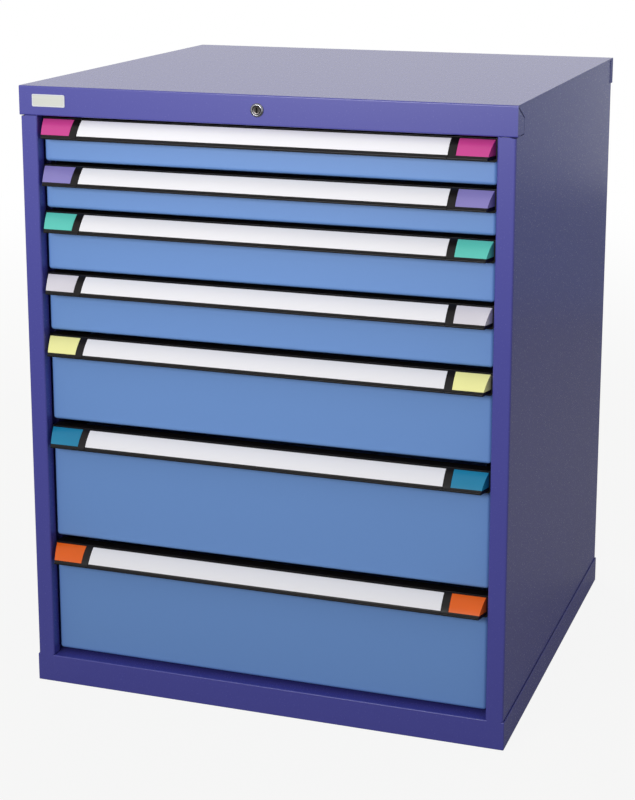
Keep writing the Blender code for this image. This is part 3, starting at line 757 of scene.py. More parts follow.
class Repeats:
    """Geometry Nodes for what repeats: rows of slots, and fasteners or wheels set on points."""

    @staticmethod
    def group(name: str, part: str, sizes: dict[str, str], line: dict[str, str]) -> NodeTree:
        """A node group that sets a part on points, made once.

        Args:
            name: the group's name.
            part: the type of the node that makes the part.
            sizes: that node's inputs and their socket types, which the group takes.
            line: the same for a line that gives the points, or none for the piece's own points.

        Returns:
            The group.
        """
        if known := bpy.data.node_groups.get(name):
            return known
        tree = bpy.data.node_groups.new(name, "GeometryNodeTree")
        inputs = {"Geometry": "Geometry", **line, **sizes, "Rotation": "Rotation"}
        for label, kind in {**inputs, "Material": "Material"}.items():
            tree.interface.new_socket(label, in_out="INPUT", socket_type=f"NodeSocket{kind}")
        tree.interface.new_socket("Geometry", in_out="OUTPUT", socket_type="NodeSocketGeometry")
        given = add_node(tree, "NodeGroupInput").outputs
        points = given["Geometry"]
        if line:
            values = {label: given[label] for label in line}
            points = add_node(tree, "GeometryNodeMeshLine", values, mode="OFFSET").outputs[0]
        shape = add_node(tree, part, {label: given[label] for label in sizes}).outputs[0]
        values = {"Points": points, "Instance": shape, "Rotation": given["Rotation"]}
        placed = add_node(tree, "GeometryNodeInstanceOnPoints", values).outputs[0]
        real = add_node(tree, "GeometryNodeRealizeInstances", {0: placed}).outputs[0]
        values = {"Geometry": real, "Material": given["Material"]}
        coat = add_node(tree, "GeometryNodeSetMaterial", values).outputs[0]
        add_node(tree, "NodeGroupOutput", {0: coat})
        return tree

    @staticmethod
    def made(
        name: str, tree: NodeTree, values: dict[str, object], points: Iterable[Place] = ()
    ) -> Object:
        """Runs a group and keeps its result as a plain mesh.

        Args:
            name: the new piece's name.
            tree: the group to run.
            values: its inputs by name.
            points: the points that it sets its parts on, if it takes any.

        Returns:
            The piece, with no modifier on it.
        """
        piece = new_piece(name, bmesh.new())
        piece.data.from_pydata(list(points), [], [])
        modifier = piece.modifiers.new(tree.name, "NODES")
        modifier.node_group = tree
        for item in tree.interface.items_tree:
            if item.in_out == "INPUT" and item.name in values:
                modifier[item.identifier] = values[item.name]
        return applied(piece)

    @classmethod
    def slots(cls, name: str, count: int, start: Place, step: Place, size: Place) -> Object:
        """A cutter for a straight row of equal slots.

        Args:
            name: the cutter's name.
            count: how many slots it cuts.
            start: the first slot's middle.
            step: from one slot to the next.
            size: each slot's size.

        Returns:
            The cutter.
        """
        line = {"Count": "Int", "Start Location": "Vector", "Offset": "Vector"}
        tree = cls.group("slot_row", "GeometryNodeMeshCube", {"Size": "Vector"}, line)
        values = {"Count": count, "Start Location": start, "Offset": step, "Size": size}
        return cls.made(name, tree, {**values, "Material": ZINC.material()})

    @classmethod
    def rounds(
        cls, name: str, part: RoundPart, points: Iterable[Place], finish: Finish
    ) -> Object:
        """A round part, tapered if asked, on each of some points.

        Args:
            name: the piece's name.
            part: the round part.
            points: the points.
            finish: what the parts are made of.

        Returns:
            All of them as one piece.
        """
        sizes = {"Radius Bottom": part.foot_radius, "Radius Top": part.head_radius}
        sizes["Depth"] = part.height
        kinds = {"Vertices": "Int", **{label: "Float" for label in sizes}}
        tree = cls.group("round_parts", "GeometryNodeMeshCone", kinds, {})
        turn = tuple(math.radians(angle) for angle in part.turn)
        values = {"Vertices": part.sides, "Rotation": turn, "Material": finish.material()}
        return cls.made(name, tree, {**values, **sizes}, points)


@dataclass(frozen=True)
class Housing:
    """The sheet-metal housing: top cover, side panels with their uprights, back and plinth."""

    sizes: CabinetSizes = SIZES
    header_return: float = 0.020
    barrel_hole: float = 0.0093
    rear_flange: float = 0.045
    tab_depth: float = 0.048
    tab_mitre: float = 0.024
    tab_gap: float = 0.0014
    rear_tab_depth: float = 0.017
    rear_tab_tip: float = 0.0001
    lap: float = 0.00005  # keeps faces that would share a plane a hair apart
    stile_fold: float = 0.0032
    stile_return: float = 0.020
    foot_gap: float = 0.0011
    rear_fold: float = 0.020
    upright_setback: float = 0.044
    upright_width: float = 0.025
    rear_upright_space: float = 0.035
    plinth_flange: float = 0.025
    plinth_fold: float = 0.0016
    seam_width: float = 0.0024  # groove that a side sheet's foot stands in, with room outside it
    seam_lip: float = 0.0008
    tongue_depth: float = 0.010
    weld_insets: Point = (0.0022, 0.0026)  # from the stile's inner and outer edge
    weld_proud: float = 0.00004
    weld_lap: float = 0.0010
    edge: float = 0.0003
    slot_pitch: float = 0.025
    slot_size: Point = (0.012, 0.005)
    rivet: RoundPart = RoundPart(0.0042, 0.0026, 0.0016, 20, (-90.0, 0.0, 0.0))
    rivet_pitch: float = 0.150
    rivet_margin: float = 0.03
    rivet_sink: float = 0.0002

    def build(self) -> None:
        """Makes and dresses the housing's pieces."""
        self.top_cover()
        for side in Side:
            self.header_tab(side)
            self.rear_tab(side)
        for side in Side:
            self.side_panel(side)
            self.uprights(side)
            self.stile_weld(side)
            self.tongue(side)
        self.plinth()
        self.rear_rivets()
        coated(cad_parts["back_panel"], HOUSING_PAINT)

    def painted(self, piece: Object, *nodes: str) -> None:
        """Dresses a finished piece as part of the housing, in place of some CAD nodes."""
        dressed(piece, HOUSING_PAINT, "cabinet", "housing_paint", nodes)

    def block(
        self, name: str, side: Side, across: Point, depths: Point, heights: Point
    ) -> Object:
        """A closed box on one side of the cabinet.

        Args:
            name: its name, before the side's.
            side: the side.
            across: its nearest and furthest distance from the middle.
            depths: where it starts and ends in depth.
            heights: its foot and its head.

        Returns:
            The unfinished box.
        """
        corners = zip(side.span(*across), (self.sizes.y(depth) for depth in depths), heights)
        return new_piece(f"{name}_{side.word}", box(*corners))

    def standing(
        self, side: Side, path: Sequence[Point], heights: Point, radius: float, steps: int = 6
    ) -> BMesh:
        """A standing sheet that is folded along a path.

        Args:
            side: the side of the cabinet.
            path: the outer face's corners, as (distance from the middle, depth).
            heights: the sheet's foot and head.
            radius: the radius of its folds.
            steps: the facets of each fold.

        Returns:
            The open surface, with its normals away from the middle of the path.
        """
        points = [(x, self.sizes.y(depth)) for x, depth in side.put(rounded(path, radius, steps))]
        middle = sum((Vector(point) for point in points), Vector((0.0, 0.0))) / len(points)
        return folded(points, *heights, Axis.Z, (*middle, heights[0]))

    def top_cover(self) -> None:
        """Top plate with the header, its return and the rear flange."""
        sizes = self.sizes
        path = [
            (sizes.depth, sizes.height - self.rear_flange),
            (sizes.depth, sizes.height),
            (0.0, sizes.height),
            (0.0, sizes.header_foot),
            (self.header_return, sizes.header_foot),
        ]
        points = sizes.placed(rounded(path, sizes.fold))
        inside = (0.0, 0.0, sizes.height - sizes.half_width)
        surface = folded(points, -sizes.half_width, sizes.half_width, Axis.X, inside)
        radius, back = self.barrel_hole, 2 * REACH
        hole = [(0.0, -REACH), (radius, -REACH), (radius, back), (0.0, back)]
        cutters = [turned("barrel_hole", hole, sizes.lock_height)]
        for side in Side:
            across = (sizes.half_opening - sizes.gap, sizes.side_face)
            depths = (sizes.sheet, self.header_return + REACH)
            heights = (sizes.header_foot - REACH, sizes.header_foot + sizes.fold)
            cutters.append(self.block("return_corner", side, across, depths, heights))
        cover = new_piece("top_cover_sheet", surface)
        self.painted(finished(cover, sizes.sheet, cutters, self.edge), "top_cover")

    def rear_tab(self, side: Side) -> None:
        """Narrow tab folded forward from the rear flange's end and pressed on to the side sheet.

        Args:
            side: the side that it stands on.
        """
        sizes = self.sizes
        inner = sizes.half_width - sizes.sheet
        near, far = sizes.y(sizes.depth - self.rear_tab_depth), sizes.y(sizes.depth) - self.lap
        tip = inner + self.rear_tab_tip
        outline = [(inner, near), (tip, near), (sizes.half_width - self.lap, far), (inner, far)]
        foot, head = sizes.height - self.rear_flange, sizes.height - sizes.sheet
        tab = new_piece(f"rear_tab_{side.word}", drawn_out(side.put(outline), foot, head, Axis.Z))
        self.painted(finished(tab, edge=self.rear_tab_tip))

    def header_tab(self, side: Side) -> None:
        """Mitred tab that folds round behind the header's end, in line with the side sheet."""
        self.painted(finished(self.tab_shape("header_tab", side), edge=self.edge))

    def tab_shape(self, name: str, side: Side, grow: float = 0.0) -> Object:
        """The header tab's block, or the notch for it.

        Args:
            name: the object's name, before the side's.
            side: the side it is for.
            grow: how far its edges are moved outwards.

        Returns:
            The block, without its finish.
        """
        sizes = self.sizes
        front, head = sizes.sheet + sizes.gap - 4 * grow, sizes.height - sizes.sheet - sizes.gap
        rear, foot = self.tab_depth + grow, sizes.header_foot - grow
        outline = [
            (front, foot),
            (rear, foot),
            (rear, sizes.height - self.tab_mitre + grow),
            (sizes.fold + sizes.sheet + grow, head + grow),
            (front, head + grow),
        ]
        ends = side.span(sizes.side_face - sizes.sheet - 4 * grow, sizes.side_face + grow)
        return new_piece(f"{name}_{side.word}", drawn_out(sizes.placed(outline), *ends, Axis.X))

    def side_panel(self, side: Side) -> None:
        """Side sheet with the stile at its front and a narrow fold at its back.

        Args:
            side: the side that it stands on.
        """
        sizes = self.sizes
        path = [
            (sizes.half_opening, self.stile_return),
            (sizes.half_opening, 0.0),
            (sizes.side_face, 0.0),
            (sizes.side_face, sizes.rear_face),
            (sizes.side_face - self.rear_fold, sizes.rear_face),
        ]
        foot, head = sizes.plinth_height + self.foot_gap, sizes.height - sizes.sheet - sizes.gap
        surface = self.standing(side, path, (foot, head), self.stile_fold)
        across = (sizes.half_opening - REACH, sizes.half_width + REACH)
        depths = (-REACH, sizes.sheet + sizes.gap)
        heights = (sizes.header_foot - sizes.gap, head + REACH)
        room = self.block("header_room", side, across, depths, heights)
        notch = self.tab_shape("tab_notch", side, self.tab_gap)
        panel = new_piece(f"side_sheet_{side.word}", surface)
        panel = finished(panel, sizes.sheet, [room, notch], self.edge)
        self.painted(panel, f"side_panel_{side.word}")

    def uprights(self, side: Side) -> None:
        """Two slotted channels behind the side sheet, which the drawers' channels hang in.

        Args:
            side: the side that it stands on.
        """
        sizes = self.sizes
        web, face = sizes.half_opening + sizes.sheet, sizes.half_width - 2 * sizes.sheet - sizes.gap
        rows = int((sizes.stack_top - sizes.plinth_height) / self.slot_pitch) - 1
        rear = sizes.depth - self.rear_upright_space - self.upright_width
        for label, start in (("front", self.upright_setback), ("rear", rear)):
            end = start + self.upright_width
            path = [(face, end), (web, end), (web, start), (face, start)]
            heights = (sizes.plinth_height + sizes.gap, sizes.stack_top)
            surface = self.standing(side, path, heights, sizes.fold, 4)
            first = (side.value * web, sizes.y((start + end) / 2), sizes.plinth_height + self.slot_pitch)
            step, size = (0.0, 0.0, self.slot_pitch), (2 * REACH, *self.slot_size)
            cutter = Repeats.slots(f"upright_slots_{label}_{side.word}", rows, first, step, size)
            upright = new_piece(f"upright_{label}_{side.word}", surface)
            self.painted(finished(upright, sizes.sheet, [cutter]))

    def stile_weld(self, side: Side) -> None:
        """Ground weld that closes the seam between stile and plinth, flush with both.

        Args:
            side: the side that it stands on.
        """
        sizes = self.sizes
        across = (sizes.half_opening + self.weld_insets[0], sizes.side_face - self.weld_insets[1])
        foot = sizes.plinth_height - self.plinth_fold - self.weld_lap
        heights = (foot, sizes.plinth_height + self.foot_gap + self.weld_lap)
        weld = self.block("stile_weld", side, across, (-self.weld_proud, sizes.sheet), heights)
        self.painted(finished(weld, edge=self.edge))

    def tongue(self, side: Side) -> None:
        """Angle that carries the side sheet down into the plinth's groove and closes it below.

        Args:
            side: the side that it stands on.
        """
        sizes = self.sizes
        outer = sizes.half_width - sizes.sheet - 2 * sizes.gap
        wall = sizes.half_width - sizes.sheet - self.lap
        inner = outer - sizes.sheet / 2
        top = sizes.plinth_height + self.foot_gap + sizes.sheet
        foot = sizes.plinth_height - self.tongue_depth
        shelf = foot + sizes.sheet
        outline = [(inner, top), (outer, top), (outer, shelf), (wall, shelf), (wall, foot)]
        ends = (sizes.y(self.stile_fold), sizes.y(sizes.depth - 2 * sizes.sheet))
        shape = drawn_out(side.put([*outline, (inner, foot)]), *ends, Axis.Y)
        self.painted(finished(new_piece(f"side_tongue_{side.word}", shape), edge=self.lap))

    def plinth(self) -> None:
        """Floor plate with skirts all round and an inward flange to stand on."""
        sizes = self.sizes
        low = (-sizes.half_width, sizes.y(0.0), 0.0)
        high = (sizes.half_width, sizes.y(sizes.depth), sizes.plinth_height)
        down = (0.0, 0.0, -1.0)
        surface = sheet_box(low, high, down, self.plinth_fold, self.plinth_flange)
        self.cut_seams(surface)
        plinth = finished(new_piece("plinth_sheet", surface), sizes.sheet, edge=self.edge)
        self.painted(plinth, "base_plinth")

    def cut_seams(self, surface: BMesh) -> None:
        """Opens the plinth's top in a narrow groove along each side sheet's foot.

        Args:
            surface: the plinth's outer face, which is cut.
        """
        sizes = self.sizes
        outer = sizes.half_width - self.seam_lip
        inner = outer - self.seam_width
        for side in Side:
            for across in (inner, outer):
                whole = [*surface.verts, *surface.edges, *surface.faces]
                place = (side.value * across, 0.0, 0.0)
                bmesh.ops.bisect_plane(surface, geom=whole, plane_co=place, plane_no=(1.0, 0.0, 0.0))
        low = sizes.plinth_height - self.plinth_fold
        front, back = sizes.y(self.plinth_fold), sizes.y(sizes.depth)
        groove = []
        for face in surface.faces:
            middle = face.calc_center_median()
            if inner < abs(middle.x) < outer and middle.z > low and front < middle.y < back:
                groove.append(face)
        bmesh.ops.delete(surface, geom=groove, context="FACES")

    def rear_rivets(self) -> None:
        """Blind rivets that hold the back panel to the side sheets' rear folds."""
        sizes = self.sizes
        across, y = sizes.side_face - self.rear_fold / 2, sizes.y(sizes.rear_face - self.rivet_sink)
        length = sizes.header_foot - sizes.plinth_height - 2 * self.rivet_margin
        rows = [
            sizes.plinth_height + self.rivet_margin + row * self.rivet_pitch
            for row in range(int(length / self.rivet_pitch) + 1)
        ]
        points = [(side.value * across, y, height) for side in Side for height in rows]
        rivets = Repeats.rounds("rear_rivets", self.rivet, points, HOUSING_PAINT)
        self.painted(finished(rivets))


@dataclass(frozen=True)
class GripProfile:
    """Section of the handle, as (depth, z) from the stile's face and the drawer's top."""

    face_start: float = 0.0155
    top: float = -0.0006
    reach: float = 0.0254
    drop: float = 0.0268
    radius: float = 0.069
    back: float = 0.0146
    wall: float = 0.003
    nose: float = 0.0021
    lip_height: float = 0.0036
    lip_thickness: float = 0.004
    lip_slope: float = 0.001
    lip_radius: float = 0.0008
    top_band: float = 0.0033
    foot_band: float = 0.0028
    half_length: float = 0.3655
    taper: float = 0.007
    plate_front: float = 0.0149
    plate_back: float = 0.0167
    ledge_back: float = 0.0367
    ledge_thickness: float = 0.0016
    skirt: float = 0.005
    steps: int = 16

    @property
    def face_end(self) -> Point:
        """The face's lower end, at the lip."""
        return (self.face_start - self.reach, self.top - self.drop)

    @property
    def centre(self) -> Vector:
        """The face arc's centre.

        Returns:
            The centre.
        """
        start, end = Vector((self.face_start, self.top)), Vector(self.face_end)
        chord = end - start
        inwards = Vector((-chord.y, chord.x)).normalized()
        return (start + end) / 2 + inwards * math.sqrt(self.radius**2 - (chord.length / 2) ** 2)

    def angle_at(self, depth: float, inset: float) -> float:
        """The arc's angle where a face moved in by the inset passes a depth."""
        return math.asin((self.centre.x - depth) / (self.radius - inset))

    def angle_along(self, distance: float) -> float:
        """The angle at a distance down the face from its top edge."""
        return self.angle_at(self.face_start, 0.0) + distance / self.radius

    @property
    def length(self) -> float:
        """The face's length down the arc."""
        end = self.angle_at(self.face_end[0], 0.0)
        return self.radius * (end - self.angle_along(0.0))

    def point(self, angle: float, inset: float) -> Point:
        """The place on the face at an angle, moved in by the inset."""
        radius, centre = self.radius - inset, self.centre
        return (centre.x - radius * math.sin(angle), centre.y + radius * math.cos(angle))

    def between(self, first: float, last: float, inset: float, steps: int = 0) -> list[Point]:
        """Points along the arc from one angle to another, moved in by the inset."""
        count = steps or self.steps
        return [self.point(first + (last - first) * step / count, inset) for step in range(count + 1)]

    @property
    def lip_front(self) -> float:
        """Depth of the lip's front face."""
        return self.face_start - self.reach - self.nose

    @property
    def lip_back(self) -> float:
        """Depth of the lip's back face, inside the hollow."""
        return self.lip_front + self.lip_thickness

    @property
    def lip_foot(self) -> float:
        """Height of the lip's underside."""
        return self.top - self.drop - self.lip_height

    @property
    def label_angles(self) -> Point:
        """The face's angles at the label's upper and lower edge."""
        return (self.angle_along(self.top_band), self.angle_along(self.length - self.foot_band))

    def lip(self) -> list[Point]:
        """The lip's rounded nose and underside.

        Returns:
            Its points, from under the face round to the back.
        """
        front, foot = self.lip_front, self.lip_foot
        shoulder = (front, foot + self.lip_height - self.lip_slope)
        corners = [self.face_end, shoulder, (front, foot), (self.lip_back, foot)]
        return [*rounded(corners, self.lip_radius, 4)[1:-1], (self.lip_back, foot)]

    def plate(self) -> list[Point]:
        """The plate behind the grip, with the ledge over the front and the skirt under the lip."""
        foot, shelf = self.lip_foot - self.skirt, self.top - self.ledge_thickness
        return [
            (self.plate_front, foot),
            (self.plate_back, foot),
            (self.plate_back, shelf),
            (self.ledge_back, shelf),
            (self.ledge_back, self.top),
            (self.plate_front, self.top),
        ]

    def outline(self) -> list[Point]:
        """The full section of the grip, as at its closed ends."""
        face = self.between(self.angle_at(self.back, 0.0), self.angle_along(self.length), 0.0)
        return [*face, *self.lip(), (self.back, self.lip_foot)]

    def hollow(self) -> list[Point]:
        """The cutter for the fingers' hollow.

        Returns:
            Its outline, open below and behind.
        """
        behind, below = self.back + REACH, self.lip_foot - REACH
        start, end = self.angle_at(behind, self.wall), self.angle_at(self.lip_back, self.wall)
        return [*self.between(start, end, self.wall), (self.lip_back, below), (behind, below)]

    def rail(self, pocket: float) -> list[Point]:
        """The open section between the grip's ends.

        Args:
            pocket: the depth of the label's pocket in its face.

        Returns:
            Its outline.
        """
        top, foot = self.label_angles
        start, end = self.angle_at(self.lip_back, self.wall), self.angle_at(self.back, self.wall)
        return [
            *self.between(self.angle_at(self.back, 0.0), top, 0.0, 3),
            *self.between(top, foot, pocket),
            *self.between(foot, self.angle_along(self.length), 0.0, 2),
            *self.lip(),
            *self.between(start, end, self.wall),
        ]

    def end_half(self, y: float, inset: float) -> float:
        """Half the grip's length at a place along Y, less the inset: the ends draw in to the lip."""
        lean = (self.face_start - (y - SIZES.front)) / (self.face_start - self.lip_front)
        return self.half_length - self.taper * lean - inset


@dataclass(frozen=True)
class Grip:
    """The handle of one drawer: black plate, rail and end pieces, label strip and coloured caps."""

    profile: GripProfile = GripProfile()
    plate_half: float = 0.367
    plate_corner: float = 0.004
    label_half: float = 0.2985
    label_thickness: float = 0.0005
    label_edge: float = 0.00008
    label_bed: float = 0.0001  # how deep the strip's back lies in the pocket's floor
    pocket: float = 0.0010
    end_start: float = 0.2990
    end_wall: float = 0.004
    cap_start: float = 0.3110
    cap_skin: float = 0.0012
    cap_edge: float = 0.0008
    edge: float = 0.0003
    gap: float = 0.0003

    def straight(self, name: str, outline: Iterable[Point], half: float) -> Object:
        """A straight length of a (depth, z) outline, the same to both sides of the middle."""
        return new_piece(name, drawn_out(SIZES.placed(outline), -half, half, Axis.X))

    def slanted(self, outline: Iterable[Point], start: float, side: Side, inset: float) -> BMesh:
        """An outline drawn out from a start to the grip's slanting end.

        Args:
            outline: points as (depth, z).
            start: where it starts, from the middle outwards.
            side: the side that it lies on.
            inset: how far its end plane lies within the grip's.

        Returns:
            The solid, counted from the drawer's top.
        """
        shape = drawn_out(SIZES.placed(outline), start, self.profile.half_length, Axis.X)
        for vert in shape.verts:
            if vert.co.x > start + NEAR:
                vert.co.x = self.profile.end_half(vert.co.y, inset)
            vert.co.x *= side.value
        bmesh.ops.recalc_face_normals(shape, faces=shape.faces)
        return shape

    def plate(self) -> Object:
        """The plate that the grip is moulded on, with its ledge and skirt.

        Returns:
            The piece.
        """
        points = SIZES.placed(self.profile.plate())
        shape = drawn_out(points, -self.plate_half, self.plate_half, Axis.X)
        foot = min(vert.co.z for vert in shape.verts) + NEAR
        corners = [
            edge
            for edge in shape.edges
            if all(vert.co.z < foot for vert in edge.verts)
            and edge.verts[0].co.x == edge.verts[1].co.x
        ]
        rounding = {"offset": self.plate_corner, "segments": 6, "profile": 0.5}
        bmesh.ops.bevel(shape, geom=corners, affect="EDGES", **rounding)
        return finished(new_piece("plate_pattern", shape), edge=self.edge)

    def rail(self) -> Object:
        """The rail between the end pieces."""
        rail = self.straight("rail_pattern", self.profile.rail(self.pocket), self.label_half)
        return finished(rail, edge=self.edge)

    def label(self) -> Object:
        """The label strip in the rail's pocket.

        Returns:
            The piece.
        """
        margin = self.gap / self.profile.radius
        top, foot = self.profile.label_angles
        top, foot = top + margin, foot - margin
        under = self.pocket - self.label_bed
        lower = self.profile.between(top, foot, under)
        upper = self.profile.between(foot, top, under - self.label_thickness)
        strip = self.straight("label_pattern", [*lower, *upper], self.label_half - self.gap)
        return finished(strip, edge=self.label_edge)

    def cap(self, side: Side, grow: float = 0.0) -> Object:
        """Coloured cap over the face's end and the end itself.

        Args:
            side: the end that it closes.
            grow: the play round it, for the cutter of its seat.

        Returns:
            The cap, with square edges if it is a cutter.
        """
        profile = self.profile
        outside, back = (-REACH, profile.back + REACH) if grow else (0.0, profile.back - 2 * self.gap)
        head, low = (profile.point(angle, self.cap_skin)[1] for angle in profile.label_angles)
        top = profile.angle_along(profile.top_band - grow)
        foot = profile.angle_along(profile.length - profile.foot_band + grow)
        section = [
            *profile.between(top, foot, outside),
            profile.point(foot, self.cap_skin),
            (back, low - grow),
            (back, head + grow),
            profile.point(top, self.cap_skin),
        ]
        start, inset = self.cap_start - grow, self.cap_skin + grow
        block = self.slanted(section, start, side, outside)
        margin, far = REACH / profile.radius, profile.back + 2 * REACH
        top, foot = profile.label_angles
        roof = profile.between(top - margin, foot + margin, inset)
        hollow = [*roof, (far, roof[-1][1]), (far, roof[0][1])]
        cutter = new_piece("cap_inside", self.slanted(hollow, start - REACH, side, inset))
        solid = new_piece(f"cap_{side.word}_pattern", block)
        solid = finished(solid, edge=0.0 if grow else self.cap_edge, steps=4)
        return finished(solid, cutters=[cutter])

    def end_piece(self, side: Side) -> Object:
        """Black moulded end with the cap's seat.

        Args:
            side: the end that it closes.

        Returns:
            The piece.
        """
        profile = self.profile
        ends = side.span(self.end_start - REACH, profile.half_length - profile.taper - self.end_wall)
        fingers = new_piece("finger_hollow", drawn_out(SIZES.placed(profile.hollow()), *ends, Axis.X))
        cutters = [fingers, self.cap(side, self.gap)]
        block = self.slanted(profile.outline(), self.end_start, side, 0.0)
        return finished(new_piece(f"end_{side.word}_pattern", block), 0.0, cutters, self.edge)


@dataclass(frozen=True)
class Drawer:
    """One drawer: folded front, slotted tray, slide rails and rear wheels."""

    number: int
    top: float
    height: float
    lowering: float = 0.0  # of the handle and the front's upper edge, under the module's top
    sizes: CabinetSizes = SIZES
    sheet: float = 0.0012
    play: float = 0.0002  # between parts that touch
    front_depth: float = 0.017
    front_half: float = 0.367
    front_fold: float = 0.0055
    front_edge: float = 0.0002
    pan_depth: float = 0.020
    foot_gap: float = 0.0045
    head_gap: float = 0.0025
    tray_half: float = 0.342
    tray_back: float = 0.6776
    tray_foot: float = 0.008
    tray_head: float = 0.022
    slot_pitch: float = 0.025
    slot_width: float = 0.0024
    slot_foot: float = 0.012
    slot_margin: float = 0.020  # what a wall is higher than its slots
    slide_outer: float = 0.3693
    slide_foot: float = 0.0129
    slide_head: float = 0.0361
    slide_sheet: float = 0.0015
    slide_front: float = 0.046
    slide_edge: float = 0.0005
    wheel: RoundPart = RoundPart(0.0115, 0.0115, 0.009, 40, (0.0, 90.0, 0.0))
    wheel_across: float = 0.3625
    wheel_gap: float = 0.001
    wheel_edge: float = 0.0006

    @property
    def foot(self) -> float:
        """The height of the drawer's module foot."""
        return self.top - self.height

    @property
    def body(self) -> str:
        """The CAD body that the drawer's pieces move with."""
        return f"drawer_{self.number}"

    def build(self) -> None:
        """Makes and dresses the drawer's own pieces."""
        self.front()
        self.tray()
        self.slides()
        self.wheels()

    def front(self) -> None:
        """Front pan with folded edges, open behind."""
        y, half = self.sizes.y, self.front_half
        low = (-half, y(self.front_depth), self.foot + self.foot_gap)
        head = self.top - self.lowering - self.head_gap
        high = (half, y(self.front_depth + self.pan_depth), head)
        surface = sheet_box(low, high, (0.0, 1.0, 0.0), self.front_fold)
        pan = finished(new_piece(f"{self.body}_front", surface), self.sheet, edge=self.front_edge)
        dressed(pan, FRONT_PAINT, self.body, "front_paint", [f"{self.body}_body"])

    def tray(self) -> None:
        """Tray with slots for partitions in its side and back walls."""
        y, pitch, half = self.sizes.y, self.slot_pitch, self.tray_half
        front = self.front_depth + self.sheet + self.play
        low = (-half, y(front), self.foot + self.tray_foot)
        high = (half, y(self.tray_back), self.top - self.tray_head)
        surface = sheet_box(low, high, (0.0, 0.0, 1.0), self.sheet, steps=2)
        slot = high[2] - low[2] - self.slot_margin
        middle = low[2] + self.slot_foot + slot / 2
        sides = Repeats.slots(
            f"side_slots_{self.number}",
            int((self.tray_back - front) / pitch) - 1,
            (0.0, y(front + pitch), middle),
            (0.0, pitch, 0.0),
            (2 * half + 2 * REACH, self.slot_width, slot),
        )
        across = int(2 * half / pitch) - 1
        rear = Repeats.slots(
            f"rear_slots_{self.number}",
            across,
            (-(across - 1) / 2 * pitch, y(self.tray_back), middle),
            (pitch, 0.0, 0.0),
            (self.slot_width, 2 * REACH, slot),
        )
        tray = finished(new_piece(f"{self.body}_tray", surface), self.sheet, [sides, rear])
        dressed(tray, FRONT_PAINT, self.body, "front_paint")

    def slides(self) -> None:
        """The pair of rails on the tray's sides that run in the housing's channels."""
        foot, head = self.foot + self.slide_foot, self.foot + self.slide_head
        inner, outer, wall = self.tray_half + self.play, self.slide_outer, self.slide_sheet
        section = [
            (inner, foot),
            (outer, foot),
            (outer, head),
            (inner, head),
            (inner, head - wall),
            (outer - wall, head - wall),
            (outer - wall, foot + wall),
            (inner, foot + wall),
        ]
        ends = (self.sizes.y(self.slide_front), self.sizes.y(self.tray_back))
        for side in Side:
            shape = drawn_out(side.put(section), *ends, Axis.Y)
            rail = new_piece(f"{self.body}_slide_{side.word}", shape)
            rail = finished(rail, edge=self.slide_edge)
            dressed(rail, ZINC, self.body, "galvanised_steel")

    def wheels(self) -> None:
        """A nylon wheel behind each rail, which runs in the channel."""
        height = self.foot + (self.slide_foot + self.slide_head) / 2
        y = self.sizes.y(self.tray_back + self.wheel.foot_radius + self.wheel_gap)
        points = [(side.value * self.wheel_across, y, height) for side in Side]
        wheels = Repeats.rounds(f"{self.body}_wheels", self.wheel, points, WHEEL_NYLON)
        dressed(finished(wheels, edge=self.wheel_edge), WHEEL_NYLON, self.body, "handle_black")


@dataclass(frozen=True)
class DrawerStack:
    """The seven drawers with their grips and the housing's guide channels."""

    sizes: CabinetSizes = SIZES
    grip: Grip = Grip()
    cap_gloss: Point = (0.30, 0.35)  # roughness and specular level

    def cap_finish(self, slot: str, colour: str) -> Finish:
        """The finish of a pair of end caps, by their material slot and sRGB colour."""
        roughness, shine = self.cap_gloss
        return MouldedPlastic(f"{slot}_moulded_abs", colour, roughness, shine=shine)

    def build(self) -> None:
        """Makes each drawer and puts a copy of the grip's pieces on it."""
        plate, rail, label = self.grip.plate(), self.grip.rail(), self.grip.label()
        ends = {side: self.grip.end_piece(side) for side in Side}
        caps = {side: self.grip.cap(side) for side in Side}
        black = (GRIP_BLACK, "handle_black")
        rows = zip(self.sizes.tops(), self.sizes.modules, self.sizes.lowerings, CapColour)
        for number, (top, height, lowering, cap) in enumerate(rows, 1):
            drawer = Drawer(number, top, height, lowering)
            drawer.build()
            coloured = (self.cap_finish(*cap.value), cap.value[0])
            parts = [
                (plate, "grip_plate", *black, ()),
                (rail, "grip_rail", *black, ["handle"]),
                (label, "label_strip", LABEL_CARD, "label_card", ["label"]),
            ]
            for side in Side:
                parts.append((ends[side], f"grip_end_{side.word}", *black, ()))
                parts.append((caps[side], f"end_cap_{side.word}", *coloured, [f"cap_{side.word}"]))
                coated(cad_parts[f"runner_{number}_{side.word}"], ZINC)
            for pattern, name, finish, place, nodes in parts:
                made = copy_at(pattern, f"{drawer.body}_{name}", (0.0, 0.0, top - lowering))
                dressed(made, finish, drawer.body, place, [f"{drawer.body}_{node}" for node in nodes])
        for pattern in (plate, rail, label, *ends.values(), *caps.values()):
            bpy.data.objects.remove(pattern)


